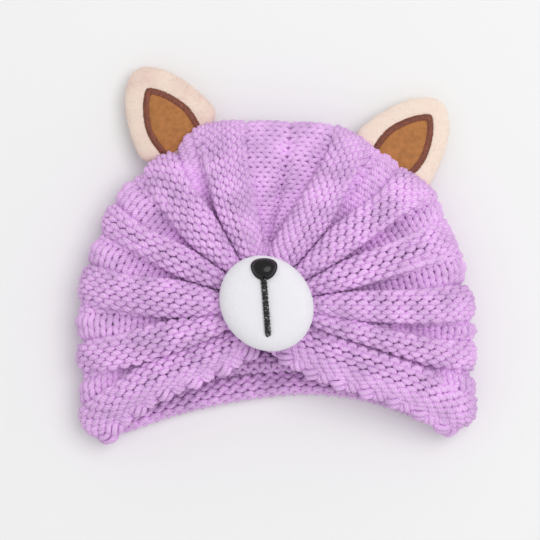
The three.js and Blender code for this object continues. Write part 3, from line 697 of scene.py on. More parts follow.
def placed(name, data, location=(0, 0, 0)):
    obj = bpy.data.objects.new(name, data)
    obj.location = location
    bpy.context.scene.collection.objects.link(obj)
    return obj


def mesh_object(name, points, faces, places=None):
    """An object from points in the maker's millimetres and arrays of quads and triangles.

    It is shaded smooth where it has coordinates of its own.
    """
    mesh = bpy.data.meshes.new(name)
    mesh.from_pydata(to_frame(points), [], [face for part in faces for face in part.tolist()])
    if places is not None:
        mesh.shade_smooth()
        layer = mesh.uv_layers.new(name="thread")
        layer.data.foreach_set("uv", np.concatenate([part.ravel() for part in places]).astype(np.float32))
    if mesh.validate():
        raise RuntimeError(f"{name} has faces that make no sense")
    return placed(name, mesh)


# Edge, muzzle and ears

# Knots along the front's hem, from each side fold inwards: their half sizes take turns.
EDGE = {
    "left": Sizes(corner=5.2, knots=(3.7, 4.5), pitch=7.4, first=2.6, off=0.9),
    "right": Sizes(corner=4.8, knots=(3.9, 4.5), pitch=6.8, first=1.2, off=0.2),
}
EDGE_LINE = Sizes(
    course=0.3,
    from_along=1.12,
    to_along=-0.6,
    lowest=4.0,
    sway=0.5,
    points=260,
)
KNOT = Sizes(
    turns=2.4,
    points=16,  # in each turn
    long=1.1,  # its length as a share of its thickness
    thick=1.15,  # its yarn's thickness as a share of the knitting's
    tilt=48,  # degrees to one side and the other in turn
    wound=math.cos(math.pi * 0.1),  # the share of its length that is wound
    round=0.9,
    least=0.15,
)
MUZZLE = Sizes(half_length=23.0, half_width=20.5, turn=-49.0, rows=80, top_from=30, columns=128)
MUZZLE_SECTION = np.array([  # share of the plan, height: from the back round the edge to the top
    (0.30, 37.4),
    (0.60, 38.9),
    (0.90, 41.1),
    (0.99, 43.4),
    (0.99, 45.4),
    (0.95, 47.8),
    (0.85, 50.2),
    (0.68, 52.0),
    (0.42, 52.95),
    (0.20, 53.3),
    (0.01, 53.45),
])
# Where the muzzle is drawn in by the mouth and the nose: from this height, how deep and how far.
DRAWN_IN = Sizes(above=46.0, mouth=(0.55, 1.7), nose=(0.9, 5.5))
NOSE = Sizes(
    x=-1.1,
    y=15.7,
    half_width=6.3,
    half_height=5.2,
    tilt=-17.0,
    sunk=0.3,
    top_heavy=0.2,  # how much wider it is at the top, and narrower at the bottom
    waist=0.06,
    rows=64,
    columns=96,
)
NOSE_SECTION = np.array([  # share of the outline, lift: from the back over the flange to the dome
    (0.80, -2.2),
    (0.96, -1.2),
    (1.00, -0.4),
    (1.00, 0.3),
    (0.965, 0.75),
    (0.915, 0.85),
    (0.89, 1.1),
    (0.87, 1.7),
    (0.80, 2.6),
    (0.66, 3.4),
    (0.45, 3.95),
    (0.22, 4.2),
    (0.01, 4.27),
])
MOUTH = Sizes(
    start=(-1.3, 11.6),
    end=(0.8, -14.2),
    points=220,
    strand=0.8,  # half the thickness of each of its two strands
    apart=0.8,  # the distance between them, as a share of their thickness
    lay=3.4,
    proud=0.2,
    end_points=12,
    end_drop=1.6,
    sides=10,
)
# White specks round the mouth thread, standing in for the glints of its shiny strands: painted highlights
GLINT_SPECKS = {"count": 110, "length": 0.4, "radius": 0.19, "lean": 1.5}
GLINT_SPECKS_ROUND = Sizes(reach=1.7, sides=12)  # from the line to its feet, in half thicknesses of a strand
NAP = {"count": 9000, "radius": 0.07, "lean": 0.8}
HAIR = Sizes(rooted=0.15, shortest=0.6, longest=1.1)  # depth of its foot, and shares of its length
# The seed called fibres strews the white specks of painted glints round the mouth
SEEDS = Sizes(muzzle=11, fibres=5, ears=20)

EARS = {
    "left": Sizes(base=(-41, 77.2), axis=123, visible=38.5, patch_start=11.2, shift=0.6, pale=0),
    "right": Sizes(base=(60.7, 68.3), axis=50, visible=34, patch_start=8.7, shift=-0.4, pale=0.8),
}
EAR = Sizes(
    height=12.0,
    drop=-6.0,  # degrees that it climbs towards its tip
    tuck=6.0,  # how far it goes on behind the knitting's edge
    power=2.3,
    border=3.1,
    paler=0.04,
    rows=96,
    columns=112,
    measured=90,
)
EAR_SECTION = np.array([  # from the tip, half width, half thickness
    (0.0, 0.1, 0.05),
    (0.3, 2.2, 0.9),
    (1.1, 4.1, 1.7),
    (3.3, 7.0, 2.9),
    (7.0, 10.8, 3.9),
    (11.5, 13.6, 4.5),
    (19.0, 17.0, 5.0),
    (27.0, 19.4, 5.1),
    (33.5, 20.7, 5.1),
    (36.5, 20.6, 5.0),
    (38.6, 19.4, 4.7),
    (40.0, 17.7, 4.3),
    (42.0, 15.5, 3.8),
    (45.0, 14.0, 3.4),
])
ARCH_SECTION = np.array([  # half width, from the arch's own tip
    (0.0, 0.0),
    (0.9, 0.2),
    (2.0, 1.1),
    (3.7, 2.9),
    (5.9, 5.7),
    (8.7, 10.7),
    (11.1, 16.9),
    (11.7, 22.3),
    (11.4, 27.0),
    (11.0, 32.0),
])
ARCH_POINTS = Sizes(half=60, whole=160)
SEWN = Sizes(depth=0.75, width=2.1, patch_depth=0.3, patch_from=4.0, faces_up=(0.2, 0.8))
PATCH = Sizes(rows=130, columns=41, thickness=(0.05, 0.75), set_in=0.75, narrowest=0.9)
SATIN = Sizes(
    pitch=0.34,
    radius=0.24,
    slant=0.35,
    uneven_slant=0.1,
    uneven_ends=(0.08, 0.05),  # outside and inside, as shares of a thread
    uneven_height=0.04,
    height=1.35,
    power=2.6,
    sunk=0.15,
    from_end=0.3,
    points=7,
    sides=6,
    line_points=700,
)


def smooth_line(points, count):
    """Evenly spaced points on a smooth line through the given ones."""
    points = np.asarray(points, float)
    known = np.concatenate([2 * points[:1] - points[1:2], points, 2 * points[-1:] - points[-2:-1]])
    t = np.linspace(0, 1, 16, endpoint=False)[:, None]
    pieces = []
    for a, b, c, d in zip(known, known[1:], known[2:], known[3:]):
        curve = 2 * b + (c - a) * t + (2 * a - 5 * b + 4 * c - d) * t**2
        pieces.append(0.5 * (curve + (3 * b - a - 3 * c + d) * t**3))
    line = np.concatenate([*pieces, points[-1:]])
    length = line_length(line)
    return looked_up(np.linspace(0, length[-1], count), length, line)


MUZZLE_LINE = smooth_line(MUZZLE_SECTION, MUZZLE.rows)
MUZZLE_TOP = MUZZLE_LINE[MUZZLE.top_from :][::-1]
ARCH = smooth_line(ARCH_SECTION, ARCH_POINTS.half)


def turned(points, degrees):
    c, s = math.cos(math.radians(degrees)), math.sin(math.radians(degrees))
    x, y = points[..., 0], points[..., 1]
    return np.stack([c * x - s * y, s * x + c * y], -1)


def muzzle_top(plan):
    """Height of the muzzle's top above places in plan, without the cord's channel."""
    local = turned(np.asarray(plan, float), -MUZZLE.turn)
    share = np.hypot(local[..., 0] / MUZZLE.half_length, local[..., 1] / MUZZLE.half_width)
    return np.interp(share, *MUZZLE_TOP.T)


def to_segment(plan, start, end):
    """Distance in plan from a line between two places."""
    start, end = np.array(start), np.array(end)
    way = end - start
    share = np.clip(((plan - start) @ way) / (way @ way), 0, 1)
    return np.linalg.norm(plan - start - share[..., None] * way, axis=-1)


def muzzle_rings():
    turn = angles(MUZZLE.columns)
    oval = np.stack([MUZZLE.half_length * np.cos(turn), MUZZLE.half_width * np.sin(turn)], -1)
    mouth_depth, mouth_width = DRAWN_IN.mouth
    nose_depth, nose_width = DRAWN_IN.nose
    rings = []
    for share, height in MUZZLE_LINE:
        plan = turned(oval * share, MUZZLE.turn)
        z = height + 0 * turn
        if height > DRAWN_IN.above:
            mouth = to_segment(plan, MOUTH.start, MOUTH.end)
            nose = np.hypot(plan[:, 0] - NOSE.x, plan[:, 1] - NOSE.y)
            z = z - mouth_depth * np.exp(-((mouth / mouth_width) ** 2))
            z = z - nose_depth * np.exp(-((nose / nose_width) ** 4))
        rings.append(np.concatenate([plan, z[:, None]], 1))
    return np.array(rings)


def nose_rings():
    turn = angles(NOSE.columns)
    middle = np.array([NOSE.x, NOSE.y, muzzle_top((NOSE.x, NOSE.y)) - NOSE.sunk])
    tilt = math.radians(NOSE.tilt)
    rings = []
    for share, lift in smooth_line(NOSE_SECTION, NOSE.rows):
        fuller = 1 + (NOSE.top_heavy * np.sin(turn) - NOSE.waist * np.cos(2 * turn)) * share**2
        x = NOSE.half_width * share * np.cos(turn) * fuller
        y = NOSE.half_height * share * np.sin(turn)
        back = y * math.sin(tilt) + lift * math.cos(tilt)
        rings.append(np.stack([x, y * math.cos(tilt) - lift * math.sin(tilt), back], -1) + middle)
    return np.array(rings)


def mouth_line():
    """The line of the mouth over the muzzle, its ends drawn down into it."""
    plan = np.linspace(MOUTH.start, MOUTH.end, MOUTH.points)
    height = muzzle_top(plan) - DRAWN_IN.mouth[0] + MOUTH.proud + MOUTH.strand
    number = np.arange(MOUTH.points)
    from_end = np.minimum(number, number[::-1]) / MOUTH.end_points
    height = height - MOUTH.end_drop * np.maximum(1 - from_end, 0) ** 2
    return np.concatenate([plan, height[:, None]], 1)


def twisted(line, strand, lay, strands):
    """Strands twisted round a line, each a list of points."""
    forward = unit(np.gradient(line, axis=0))
    across = unit(np.cross(forward, UPWARD))
    above = np.cross(across, forward)
    turn = 2 * np.pi * line_length(line)[:, None] / lay
    for k in range(strands):
        phase = turn + 2 * np.pi * k / strands
        yield line + strand * (across * np.cos(phase) + above * np.sin(phase))


def knot_line(middle, along, up, half_length, radius):
    """A yarn wound round and round into a small ball whose axis runs along the edge."""
    t = np.linspace(0, 1, int(KNOT.turns * KNOT.points) + 1)
    turn = 2 * np.pi * KNOT.turns * t
    step = KNOT.wound * (2 * t - 1)
    reach = radius * np.sqrt(np.maximum(1 - (KNOT.round * step) ** 2, KNOT.least))
    across = unit(np.cross(along, up))
    above = np.cross(across, along)
    places = across * (reach * np.cos(turn))[:, None] + above * (reach * np.sin(turn))[:, None]
    return middle + along * (half_length * step)[:, None] + places


def ear_place(ear, x, from_tip, z):
    """Places in an ear, by step to the side, distance from its tip and height, on the turban."""
    drop = math.radians(EAR.drop)
    y = ear.visible - from_tip
    flat = np.stack([x, y * math.cos(drop) - z * math.sin(drop)], -1)
    plan = turned(flat, ear.axis - 90) + np.array(ear.base)
    height = EAR.height + y * math.sin(drop) + z * math.cos(drop)
    return np.concatenate([plan, height[..., None]], -1)


def in_ear(ear, from_tip):
    """Whether a place is in the length of an ear that is built."""
    return from_tip < ear.visible + EAR.tuck


def arch_line(set_in, count=ARCH_POINTS.whole):
    """The embroidered arch, moved in: from the base up one side, over the tip and down the other."""
    line = smooth_line(np.concatenate([ARCH[:0:-1] * (-1, 1), ARCH]), count)
    along = unit(np.gradient(line, axis=0))
    inward = np.stack([-along[:, 1], along[:, 0]], -1)
    moved = line + inward * set_in
    crossed = line[:, 0] * moved[:, 0] < 0
    moved[crossed] = (0, moved[~crossed, 1].min())
    return moved


def sewn_down(ear, x, from_tip):
    """How far the embroidery pulls the plush down."""
    line = arch_line(EAR.border / 2)
    place = np.stack([x, from_tip - ear.patch_start], -1)
    nearest = np.linalg.norm(place[..., None, :] - line, axis=-1).min(-1)
    under_patch = np.abs(x) < np.interp(place[..., 1], ARCH[:, 1], ARCH[:, 0])
    inside = smoothstep(nearest, 0, SEWN.patch_from) * under_patch
    return SEWN.depth * np.exp(-((nearest / SEWN.width) ** 2)) + SEWN.patch_depth * inside


def ear_face(ear, x, from_tip):
    """Height of the plush's upper face, drawn down under the embroidery."""
    section = smooth_line(EAR_SECTION, EAR.measured)
    half_width, half_thickness = looked_up(from_tip, section[:, 0], section[:, 1:]).T
    share = np.abs((x - ear.shift) / half_width)
    plain = half_thickness * np.maximum(1 - share ** EAR.power, 0) ** (1 / EAR.power)
    return plain - sewn_down(ear, x, from_tip)


def ear_rings(ear):
    turn = angles(EAR.columns)
    wide, tall = (np.sign(v) * np.abs(v) ** (2 / EAR.power) for v in (np.cos(turn), np.sin(turn)))
    section = smooth_line(EAR_SECTION, EAR.rows)
    rings = []
    for from_tip, half_width, half_thickness in section[in_ear(ear, section[:, 0])]:
        from_tip = from_tip + 0 * turn
        x = half_width * wide + ear.shift
        sewn = np.where(tall > 0, sewn_down(ear, x, from_tip), 0) * smoothstep(tall, *SEWN.faces_up)
        rings.append(ear_place(ear, x, from_tip, half_thickness * tall - sewn))
    return np.array(rings)


def patch_rings(ear):
    """The cloth patch inside the arch, as rings over its top and back under it."""
    line = arch_line(EAR.border * PATCH.set_in, PATCH.rows)
    right = line[line[:, 0] > PATCH.narrowest]
    low, high = PATCH.thickness
    rings = []
    for half_width, y in right[in_ear(ear, right[:, 1] + ear.patch_start)]:
        x = np.linspace(-half_width, half_width, PATCH.columns)
        from_tip = y + ear.patch_start + 0 * x
        face = ear_face(ear, x, from_tip)
        top = ear_place(ear, x, from_tip, face + high)
        under = ear_place(ear, x[::-1], from_tip, face[::-1] + low)
        rings.append(np.concatenate([top, under]))
    return np.array(rings)


def satin_threads(ear, random):
    """Threads worked side by side across the arch, each a line over the border's padding."""
    lines = [arch_line(set_in, SATIN.line_points) for set_in in (0.0, EAR.border)]
    length = line_length(lines[0])
    share = np.linspace(0, 1, SATIN.points)
    rise = SATIN.height * (1 - np.abs(2 * share - 1) ** SATIN.power) - SATIN.sunk
    outside, inside = SATIN.uneven_ends
    for at in np.arange(SATIN.from_end, length[-1] - SATIN.from_end, SATIN.pitch):
        slant = SATIN.slant + random.normal(0, SATIN.uneven_slant)
        start, end = (looked_up(at + by, length, line) for line, by in zip(lines, (-slant, slant)))
        way = end - start
        start = start - way * random.uniform(0, outside)
        end = end + way * random.uniform(0, inside)
        place = start + (end - start) * share[:, None]
        from_tip = place[:, 1] + ear.patch_start
        if not in_ear(ear, from_tip.max()):
            continue
        z = ear_face(ear, place[:, 0], from_tip) + rise + random.normal(0, SATIN.uneven_height)
        yield ear_place(ear, place[:, 0], from_tip, z)


def nap_hairs(name, rings, count, length, radius, lean, random):
    """Short three-sided fibres that stand on a surface given by rings."""
    a, b, c, d = corners(closed(rings))
    area_normals = np.cross(c - a, d - b)
    middle = rings.reshape(-1, 3).mean(0)
    outward = np.sign(((area_normals * ((a + c) / 2 - middle)).sum(-1)).sum())
    weights = np.linalg.norm(area_normals, axis=-1).ravel()
    chosen = random.choice(weights.size, count, p=weights / weights.sum())
    u, v = random.random((2, count, 1))
    a, b, c, d = (corner.reshape(-1, 3)[chosen] for corner in (a, b, c, d))
    root = a * (1 - u) * (1 - v) + b * u * (1 - v) + c * u * v + d * (1 - u) * v
    normal = unit(area_normals.reshape(-1, 3)[chosen] * outward)
    way = unit(normal + lean * random.normal(size=(count, 3)))
    side = unit(np.cross(way, random.normal(size=(count, 3))))
    other = np.cross(way, side)
    below = root - way * HAIR.rooted
    feet = [below + radius * (side * math.cos(angle) + other * math.sin(angle)) for angle in angles(3)]
    tips = root + way * (length * random.uniform(HAIR.shortest, HAIR.longest, (count, 1)))
    points = np.stack([*feet, tips], 1).reshape(-1, 3)
    base = 4 * np.arange(count)[:, None]
    faces = [base + np.array(corner) for corner in ((0, 1, 3), (1, 2, 3), (2, 0, 3), (0, 2, 1))]
    return mesh_object(name, points, [np.concatenate(faces)])


# Materials


class Finish:
    """A material under construction: its nodes, and short ways to add and join them."""

    def __init__(self, name):
        self.material = bpy.data.materials.new(name)
        self.material.use_nodes = True
        self.tree = self.material.node_tree
        self.shader = self.tree.nodes["Principled BSDF"]

    def fill(self, socket, value):
        """Joins another node's output to a socket, or sets its value."""
        if isinstance(value, bpy.types.NodeSocket):
            self.tree.links.new(value, socket)
        else:
            socket.default_value = value

    def node(self, kind, inputs=None, **settings):
        node = self.tree.nodes.new("ShaderNode" + kind)
        for key, value in settings.items():
            setattr(node, key, value)
        for key, value in (inputs or {}).items():
            self.fill(node.inputs[key], value)
        return node

    def set(self, **values):
        for key, value in values.items():
            self.fill(self.shader.inputs[key.replace("_", " ")], value)

    def math(self, operation, *values):
        return self.node("Math", dict(enumerate(values)), operation=operation).outputs[0]

    def noise(self, scale, detail):
        """Even noise in the piece's own coordinates."""
        where = self.node("TexCoord").outputs["Object"]
        return self.node("TexNoise", {"Vector": where, "Scale": scale, "Detail": detail}).outputs["Fac"]

    def bump(self, height, strength, distance):
        bump = self.node("Bump", {"Strength": strength, "Distance": distance, "Height": height})
        self.set(Normal=bump.outputs["Normal"])

    def ramp(self, source, *stops):
        """Colours along a factor: stops are (position, colour)."""
        node = self.node("ValToRGB", {"Fac": source})
        for element, (position, colour) in zip(node.color_ramp.elements, stops):
            element.position = position
            element.color = colour
        return node.outputs["Color"]


def shade(colour, factor=1):
    return tuple(min(c * factor, 1.0) for c in colour[:3]) + (1.0,)


# tint: how much lighter the yarn is painted on its ply ridges and darker between them, a painted highlight
# and shade
PLIES = Sizes(along=0.9, round=5.0, tint=0.12, relief=0.8)  # ridges to a millimetre, and round the yarn


@functools.cache
def yarn_finish(name, colour):
    """Soft plied yarn: slanting plies with painted highlight and shade along them, mottled dye and a bloom
    of short fibres.
    """
    finish = Finish(name)
    thread = finish.node("UVMap", uv_map="thread").outputs["UV"]
    place = finish.node("SeparateXYZ", {"Vector": thread}).outputs
    slant = finish.math("MULTIPLY", place["X"], PLIES.along)
    turn = finish.math("ADD", slant, finish.math("MULTIPLY", place["Y"], PLIES.round))
    plies = finish.math("SINE", finish.math("MULTIPLY", turn, 2 * math.pi))
    # The base colour mixes painted highlight and shade along the plies with random mottled dye
    painted_ply_shade_and_mottle = finish.math("MULTIPLY_ADD", plies, PLIES.tint, finish.noise(scale=90.0, detail=3.0))
    tint = finish.ramp(painted_ply_shade_and_mottle, (0.25, shade(colour, 0.74)), (0.75, shade(colour, 1.14)))
    relief = finish.math("MULTIPLY_ADD", plies, PLIES.relief, finish.noise(scale=1400.0, detail=3.0))
    finish.bump(relief, strength=0.5, distance=0.0002)
    finish.set(Base_Color=tint, Roughness=0.8)
    finish.set(Sheen_Weight=0.35, Sheen_Roughness=0.45, Sheen_Tint=shade(colour, 1.3))
    return finish.material


def soft_finish(name, broad, stops, fine, **values):
    """Two tones that broad noise mixes, on a surface that fine noise roughens.

    Each noise is given by its scale and detail, the fine one also by its bump's strength and distance.
    """
    finish = Finish(name)
    finish.bump(finish.noise(*fine[:2]), *fine[2:])
    finish.set(Base_Color=finish.ramp(finish.noise(*broad), *stops), **values)
    return finish.material


def plush_finish(name, colour, other):
    """Short soft pile, with a second tone showing in broad patches."""
    stops = (0.38, shade(colour)), (0.66, shade(other))
    fine = 1500.0, 2.0, 0.5, 0.0003
    sheen = {"Sheen_Weight": 0.4, "Sheen_Roughness": 0.6}
    return soft_finish(name, (48.0, 2.0), stops, fine, Roughness=0.95, **sheen)


def cloth_finish(name, colour):
    """Brushed cloth, a little streaked."""
    stops = (0.3, shade(colour, 0.82)), (0.7, shade(colour, 1.15))
    sheen = {"Sheen_Weight": 0.2, "Sheen_Tint": shade(colour, 1.4)}
    return soft_finish(name, (420.0, 6.0), stops, (2200.0, 2.0, 0.6, 0.0003), Roughness=0.9, **sheen)


def thread_finish(name, colour, roughness):
    """Smooth sewing thread."""
    finish = Finish(name)
    tint = finish.ramp(finish.noise(900.0, 2.0), (0.3, shade(colour, 0.7)), (0.7, shade(colour, 1.3)))
    finish.set(Base_Color=tint, Roughness=roughness)
    return finish.material


def plain_finish(name, colour, roughness, specular=0.5):
    """One even colour."""
    finish = Finish(name)
    finish.set(Base_Color=shade(colour), Roughness=roughness, Specular_IOR_Level=specular)
    return finish.material


# Sizes and colours


def size(name, description, default):
    """A length in metres."""
    return bpy.props.FloatProperty(
        name=name, description=description, default=default, unit="LENGTH", precision=5
    )


def colour(name, description, default):
    return bpy.props.FloatVectorProperty(
        name=name, description=description, default=default, subtype="COLOR"
    )


class YarnSizes(bpy.types.PropertyGroup):
    """The yarn and how it is worked."""

    thickness: size("Thickness", "Diameter of the yarn", 0.0024)
    course: size("Course", "Height of one course", 0.0036)
    colour: colour("Colour", "Colour of the yarn", (0.83, 0.51, 0.905))


class MuzzleSizes(bpy.types.PropertyGroup):
    """The muzzle, its nose and its mouth."""

    plush: colour("Plush", "Colour of the muzzle", (0.84, 0.83, 0.87))
    plastic: colour("Plastic", "Colour of the nose", (0.008, 0.008, 0.009))
    thread: colour("Thread", "Colour of the mouth", (0.012, 0.012, 0.014))
    pile: size("Pile", "Length of the plush's fibres", 0.0006)


class EarSizes(bpy.types.PropertyGroup):
    """The two ears."""

    plush: colour("Plush", "Colour of the ears", (0.88, 0.74, 0.63))
    blush: colour("Blush", "Second tone of the ears", (0.80, 0.60, 0.53))
    patch: colour("Patch", "Colour of the patches", (0.425, 0.172, 0.052))
    thread: colour("Thread", "Colour of the embroidery", (0.22, 0.063, 0.035))
    pile: size("Pile", "Length of the plush's fibres", 0.0011)


class StageSizes(bpy.types.PropertyGroup):
    """The floor and the light."""

    floor: colour("Floor", "Colour of the floor", (0.88, 0.88, 0.88))
    light: bpy.props.FloatProperty(
        name="Light", description="Power of the large soft light", default=16.4, unit="POWER"
    )


STAGE = Sizes(half_floor=4.0, light_size=1.5, light_at=(0.65, 0.4, 1.85), room=0.68)
CAMERA = Sizes(lens=182.6, sensor=36, farthest=10, over=(1.6, 15.3, 1300))


# Pieces

knit_surface = functools.cache(KnitSurface)


def dress(piece, material, slot):
    """Gives a piece its material and its place in the part."""
    piece.data.materials.append(material)
    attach(piece, "root")
    return piece


def at_work(context):
    """The surface to knit on, the yarn's half thickness and its material."""
    sizes = context.scene.turban_yarn
    yarn = yarn_finish("lilac yarn", tuple(sizes.colour))
    return knit_surface(sizes.course / MM), sizes.thickness / MM / 2, yarn


def stuffed(name, pile_name, rings, pile, random, plush, slot):
    """A padded body and the short pile that stands on it."""
    body = dress(shell(name, rings), plush, slot)
    dress(nap_hairs(pile_name, rings, length=pile / MM, random=random, **NAP), plush, slot)
    return body


class TURBAN_OT_knit_bands(bpy.types.Operator):
    """Works the bands of the shell, stitch by stitch"""

    bl_idname = "turban.knit_bands"
    bl_label = "Knit the bands"

    def execute(self, context):
        surface, radius, yarn = at_work(context)
        bands = [(name, FIRST_COURSE[k], count) for k, (name, _, count) in enumerate(BANDS)]
        bands.append(("rolled_hem", -HEM_ROLL.courses, HEM_ROLL.courses))
        for k, (name, first, courses) in enumerate(bands):
            numbers = range(first, first + courses)
            paths = [self.course_yarn(surface, number, radius) for number in numbers]
            if name == "crown_panel":
                paths.append(self.seam_yarn(surface, radius))
            band = dress(woven(name, [tube(*path, YARN_SIDES) for path in paths]), yarn, "lilac_yarn")
            if k == 0:
                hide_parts("knit_cap")
        return {"FINISHED"}

    @staticmethod
    def course_yarn(surface, course, radius):
        """The yarn of one course. The courses rolled in last are short, where they can be seen."""
        places = stitch_places(surface, max(course, 0) + 0.5)
        if course < STITCHES.short_before:
            begins = places[:: STITCHES.parts]
            low, high = STITCHES.short
            kept = np.flatnonzero((begins > low) & (begins < high)) * STITCHES.parts
            places = places[kept[0] : kept[-1] + 1]
        faces = (faces_out(course), faces_out(course + 1))
        return yarn_path(surface, course + 0.5, places, faces, radius)

    @staticmethod
    def seam_yarn(surface, radius):
        """The yarn that closes the seam from the muzzle to the back hem, swaying from side to side."""
        along = np.linspace(SEAM_YARN.start, 3, SEAM_YARN.points)
        length = line_length(surface.at(COURSES + 0 * along, along)[0])
        sway = SEAM_YARN.sway * np.sin(np.pi * length / SEAM_YARN.step)
        centre, normal = surface.at(COURSES + sway, along)
        centre = centre - normal * SEAM_YARN.depth * radius
        centre[:, 2] = np.maximum(centre[:, 2], radius)
        return centre, normal, radius


class TURBAN_OT_edge(bpy.types.Operator):
    """Winds the knots and loops of yarn along the front's edge"""

    bl_idname = "turban.edge"
    bl_label = "Wind the edge"

    def execute(self, context):
        surface, radius, yarn = at_work(context)
        for side, edge in EDGE.items():
            line, up = self.edge_line(surface, side)
            length = line_length(line)
            sway = np.sin(2 * np.pi * length / (edge.pitch / 2))[:, None] * EDGE_LINE.sway
            tubes = [tube(line + up * sway, up, radius, YARN_SIDES)]
            forward = unit(np.gradient(line, axis=0))
            for number, at in enumerate(np.arange(edge.first, length[-1], edge.pitch)):
                outer = edge.corner if number == 0 else edge.knots[number % 2]
                here, way, above = (looked_up(at, length, part) for part in (line, forward, up))
                tilt = math.radians(KNOT.tilt) * (-1) ** number
                way = way * math.cos(tilt) + unit(np.cross(above, way)) * math.sin(tilt)
                for inner in (outer - radius, outer - 3 * radius)[: 2 if number == 0 else 1]:
                    knot = knot_line(here, way, above, KNOT.long * inner, inner)
                    facing = unit(square_to(knot - here, way))
                    tubes.append(tube(knot, facing, KNOT.thick * radius, YARN_SIDES))
            piece = dress(woven(f"edge_yarn_{side}", tubes), yarn, "lilac_yarn")
            if side == "left":
                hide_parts("hem_edging")
        return {"FINISHED"}

    @staticmethod
    def edge_line(surface, side):
        """The line of the edge yarn from the side fold inwards, and its outward direction."""
        along = np.linspace(EDGE_LINE.from_along, EDGE_LINE.to_along, EDGE_LINE.points)
        places = along if side == "left" else 6 - along
        course = EDGE_LINE.course + 0 * along
        middle, up = surface.at(course, places)
        out = middle - surface.at(course + 1.5, places)[0]
        line = middle + unit(out * (1, 1, 0)) * EDGE[side].off
        line[:, 2] = np.maximum(line[:, 2], EDGE_LINE.lowest)
        return line, unit(up + UPWARD)


class TURBAN_OT_muzzle(bpy.types.Operator):
    """Pads the muzzle and covers it with short pile"""

    bl_idname = "turban.muzzle"
    bl_label = "Pad the muzzle"

    def execute(self, context):
        sizes = context.scene.turban_muzzle
        plush = plush_finish("white plush", sizes.plush, sizes.plush)
        random = np.random.default_rng(SEEDS.muzzle)
        names = "muzzle_pad", "muzzle_pile"
        body = stuffed(*names, muzzle_rings(), sizes.pile, random, plush, "white_plush")
        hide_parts("muzzle")
        return {"FINISHED"}


class TURBAN_OT_nose(bpy.types.Operator):
    """Moulds the nose and lays the stitched mouth under it"""

    bl_idname = "turban.nose"
    bl_label = "Make the nose and mouth"

    def execute(self, context):
        sizes = context.scene.turban_muzzle
        plastic = plain_finish("black plastic", sizes.plastic, 0.16, 0.28)
        nose = dress(shell("nose_dome", nose_rings()), plastic, "black_plastic")
        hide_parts("nose")

        line, strand = mouth_line(), MOUTH.strand
        strands = twisted(line, strand * MOUTH.apart, MOUTH.lay, 2)
        mouth = woven("mouth_stitching", [tube(path, UPWARD, strand, MOUTH.sides) for path in strands])
        dress(mouth, thread_finish("black thread", sizes.thread, 0.55), "black_thread")
        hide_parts("mouth_cord")

        # White specks round the mouth thread: painted glints of its shiny strands, made as tiny fibres
        rings, _ = tube(line, UPWARD, strand * GLINT_SPECKS_ROUND.reach, GLINT_SPECKS_ROUND.sides)
        random = np.random.default_rng(SEEDS.fibres)
        glint_specks = nap_hairs("painted_glint_specks", rings, random=random, **GLINT_SPECKS)
        dress(glint_specks, plush_finish("painted glints", sizes.plush, sizes.plush), "white_plush")
        return {"FINISHED"}


class TURBAN_OT_ears(bpy.types.Operator):
    """Stuffs the plush ears and sews on their patches and embroidered borders"""

    bl_idname = "turban.ears"
    bl_label = "Make the ears"

    def execute(self, context):
        sizes = context.scene.turban_ears
        cream, blush = np.array(sizes.plush), np.array(sizes.blush)
        cloth = cloth_finish("ochre cloth", sizes.patch)
        thread = thread_finish("brown thread", sizes.thread, 0.5)
        for number, (side, ear) in enumerate(EARS.items()):
            random = np.random.default_rng(SEEDS.ears + number)
            paler = EAR.paler * ear.pale
            plush = plush_finish(
                f"cream plush {side}", *(mix(tone, cream, ear.pale) + paler for tone in (cream, blush))
            )
            names = f"stuffed_ear_{side}", f"ear_pile_{side}"
            body = stuffed(*names, ear_rings(ear), sizes.pile, random, plush, "cream_plush")
            rings = patch_rings(ear)
            patch = dress(shell(f"inner_ear_{side}", rings), cloth, "ochre_cloth")
            threads = [tube(line, UPWARD, SATIN.radius, SATIN.sides) for line in satin_threads(ear, random)]
            border = dress(woven(f"satin_stitch_{side}", threads), thread, "brown_thread")
            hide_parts(f"ear_{side}_plush")
            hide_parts(f"ear_{side}_patch")
            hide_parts(f"ear_{side}_border")
            self.declare_patch(patch, rings, body)
        return {"FINISHED"}

    @staticmethod
    def declare_patch(patch, rings, body):
        """Works out the steps between the rows along the middle of the patch's top, and keeps nothing of
        them.
        """
        columns = PATCH.columns
        top = rings[:, :columns] * MM
        steps = np.linalg.norm(np.diff(top[:, columns // 2], axis=0), axis=1)


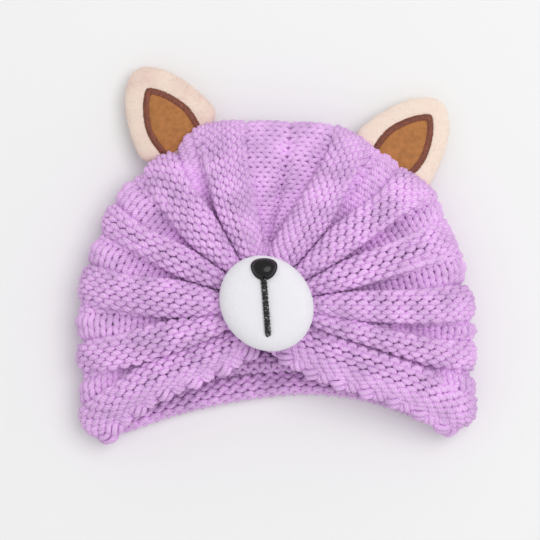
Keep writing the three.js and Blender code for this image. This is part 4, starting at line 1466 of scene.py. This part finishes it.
class TURBAN_OT_stage(bpy.types.Operator):
    """Sets the turban on a pale floor under soft light"""

    bl_idname = "turban.stage"
    bl_label = "Set the stage"

    def execute(self, context):
        scene = context.scene
        sizes = scene.turban_stage
        scene.view_settings.view_transform = "Standard"
        square = np.array([(-1, -1, 0), (1, -1, 0), (1, 1, 0), (-1, 1, 0)]) * STAGE.half_floor
        floor = mesh_object("floor", (square - ORIGIN) / MM, [np.array([[0, 1, 2, 3]])])
        floor.data.materials.append(plain_finish("pale floor", sizes.floor, 0.7))

        light = bpy.data.lights.new("softbox", "AREA")
        light.shape = "DISK"
        light.size = STAGE.light_size
        light.energy = sizes.light
        lamp = placed("softbox", light, STAGE.light_at)
        lamp.rotation_euler = (-lamp.location).to_track_quat("-Z", "Y").to_euler()

        world = bpy.data.worlds.new("room")
        world.use_nodes = True
        background = world.node_tree.nodes["Background"]
        background.inputs["Color"].default_value = (1, 1, 1, 1)
        background.inputs["Strength"].default_value = STAGE.room
        scene.world = world

        camera = bpy.data.cameras.new("overhead")
        camera.lens = CAMERA.lens
        camera.sensor_width = CAMERA.sensor
        camera.clip_end = CAMERA.farthest
        scene.camera = placed("overhead", camera, to_frame(CAMERA.over))
        return {"FINISHED"}


STEPS = [
    TURBAN_OT_stage,
    TURBAN_OT_knit_bands,
    TURBAN_OT_edge,
    TURBAN_OT_muzzle,
    TURBAN_OT_nose,
    TURBAN_OT_ears,
]


class TURBAN_PT_maker(bpy.types.Panel):
    """The turban's sizes, colours and steps"""

    bl_idname = "TURBAN_PT_maker"
    bl_label = "Knitted baby turban"
    bl_space_type = "VIEW_3D"
    bl_region_type = "UI"
    bl_category = "Turban"

    def draw(self, context):
        for group in GROUPS:
            sizes = getattr(context.scene, group)
            box = self.layout.box()
            for key in sizes.__annotations__:
                box.prop(sizes, key)
        for step in STEPS:
            self.layout.operator(step.bl_idname)


GROUPS = {
    "turban_yarn": YarnSizes,
    "turban_muzzle": MuzzleSizes,
    "turban_ears": EarSizes,
    "turban_stage": StageSizes,
}
CLASSES = [*GROUPS.values(), *STEPS, TURBAN_PT_maker]


def register():
    for cls in CLASSES:
        bpy.utils.register_class(cls)
    for name, group in GROUPS.items():
        setattr(bpy.types.Scene, name, bpy.props.PointerProperty(type=group))


def unregister():
    for name in GROUPS:
        delattr(bpy.types.Scene, name)
    for cls in reversed(CLASSES):
        bpy.utils.unregister_class(cls)


def main():
    register()
    for step in STEPS:
        prefix, name = step.bl_idname.split(".")
        getattr(getattr(bpy.ops, prefix), name)()


if __name__ == "__main__":
    main()
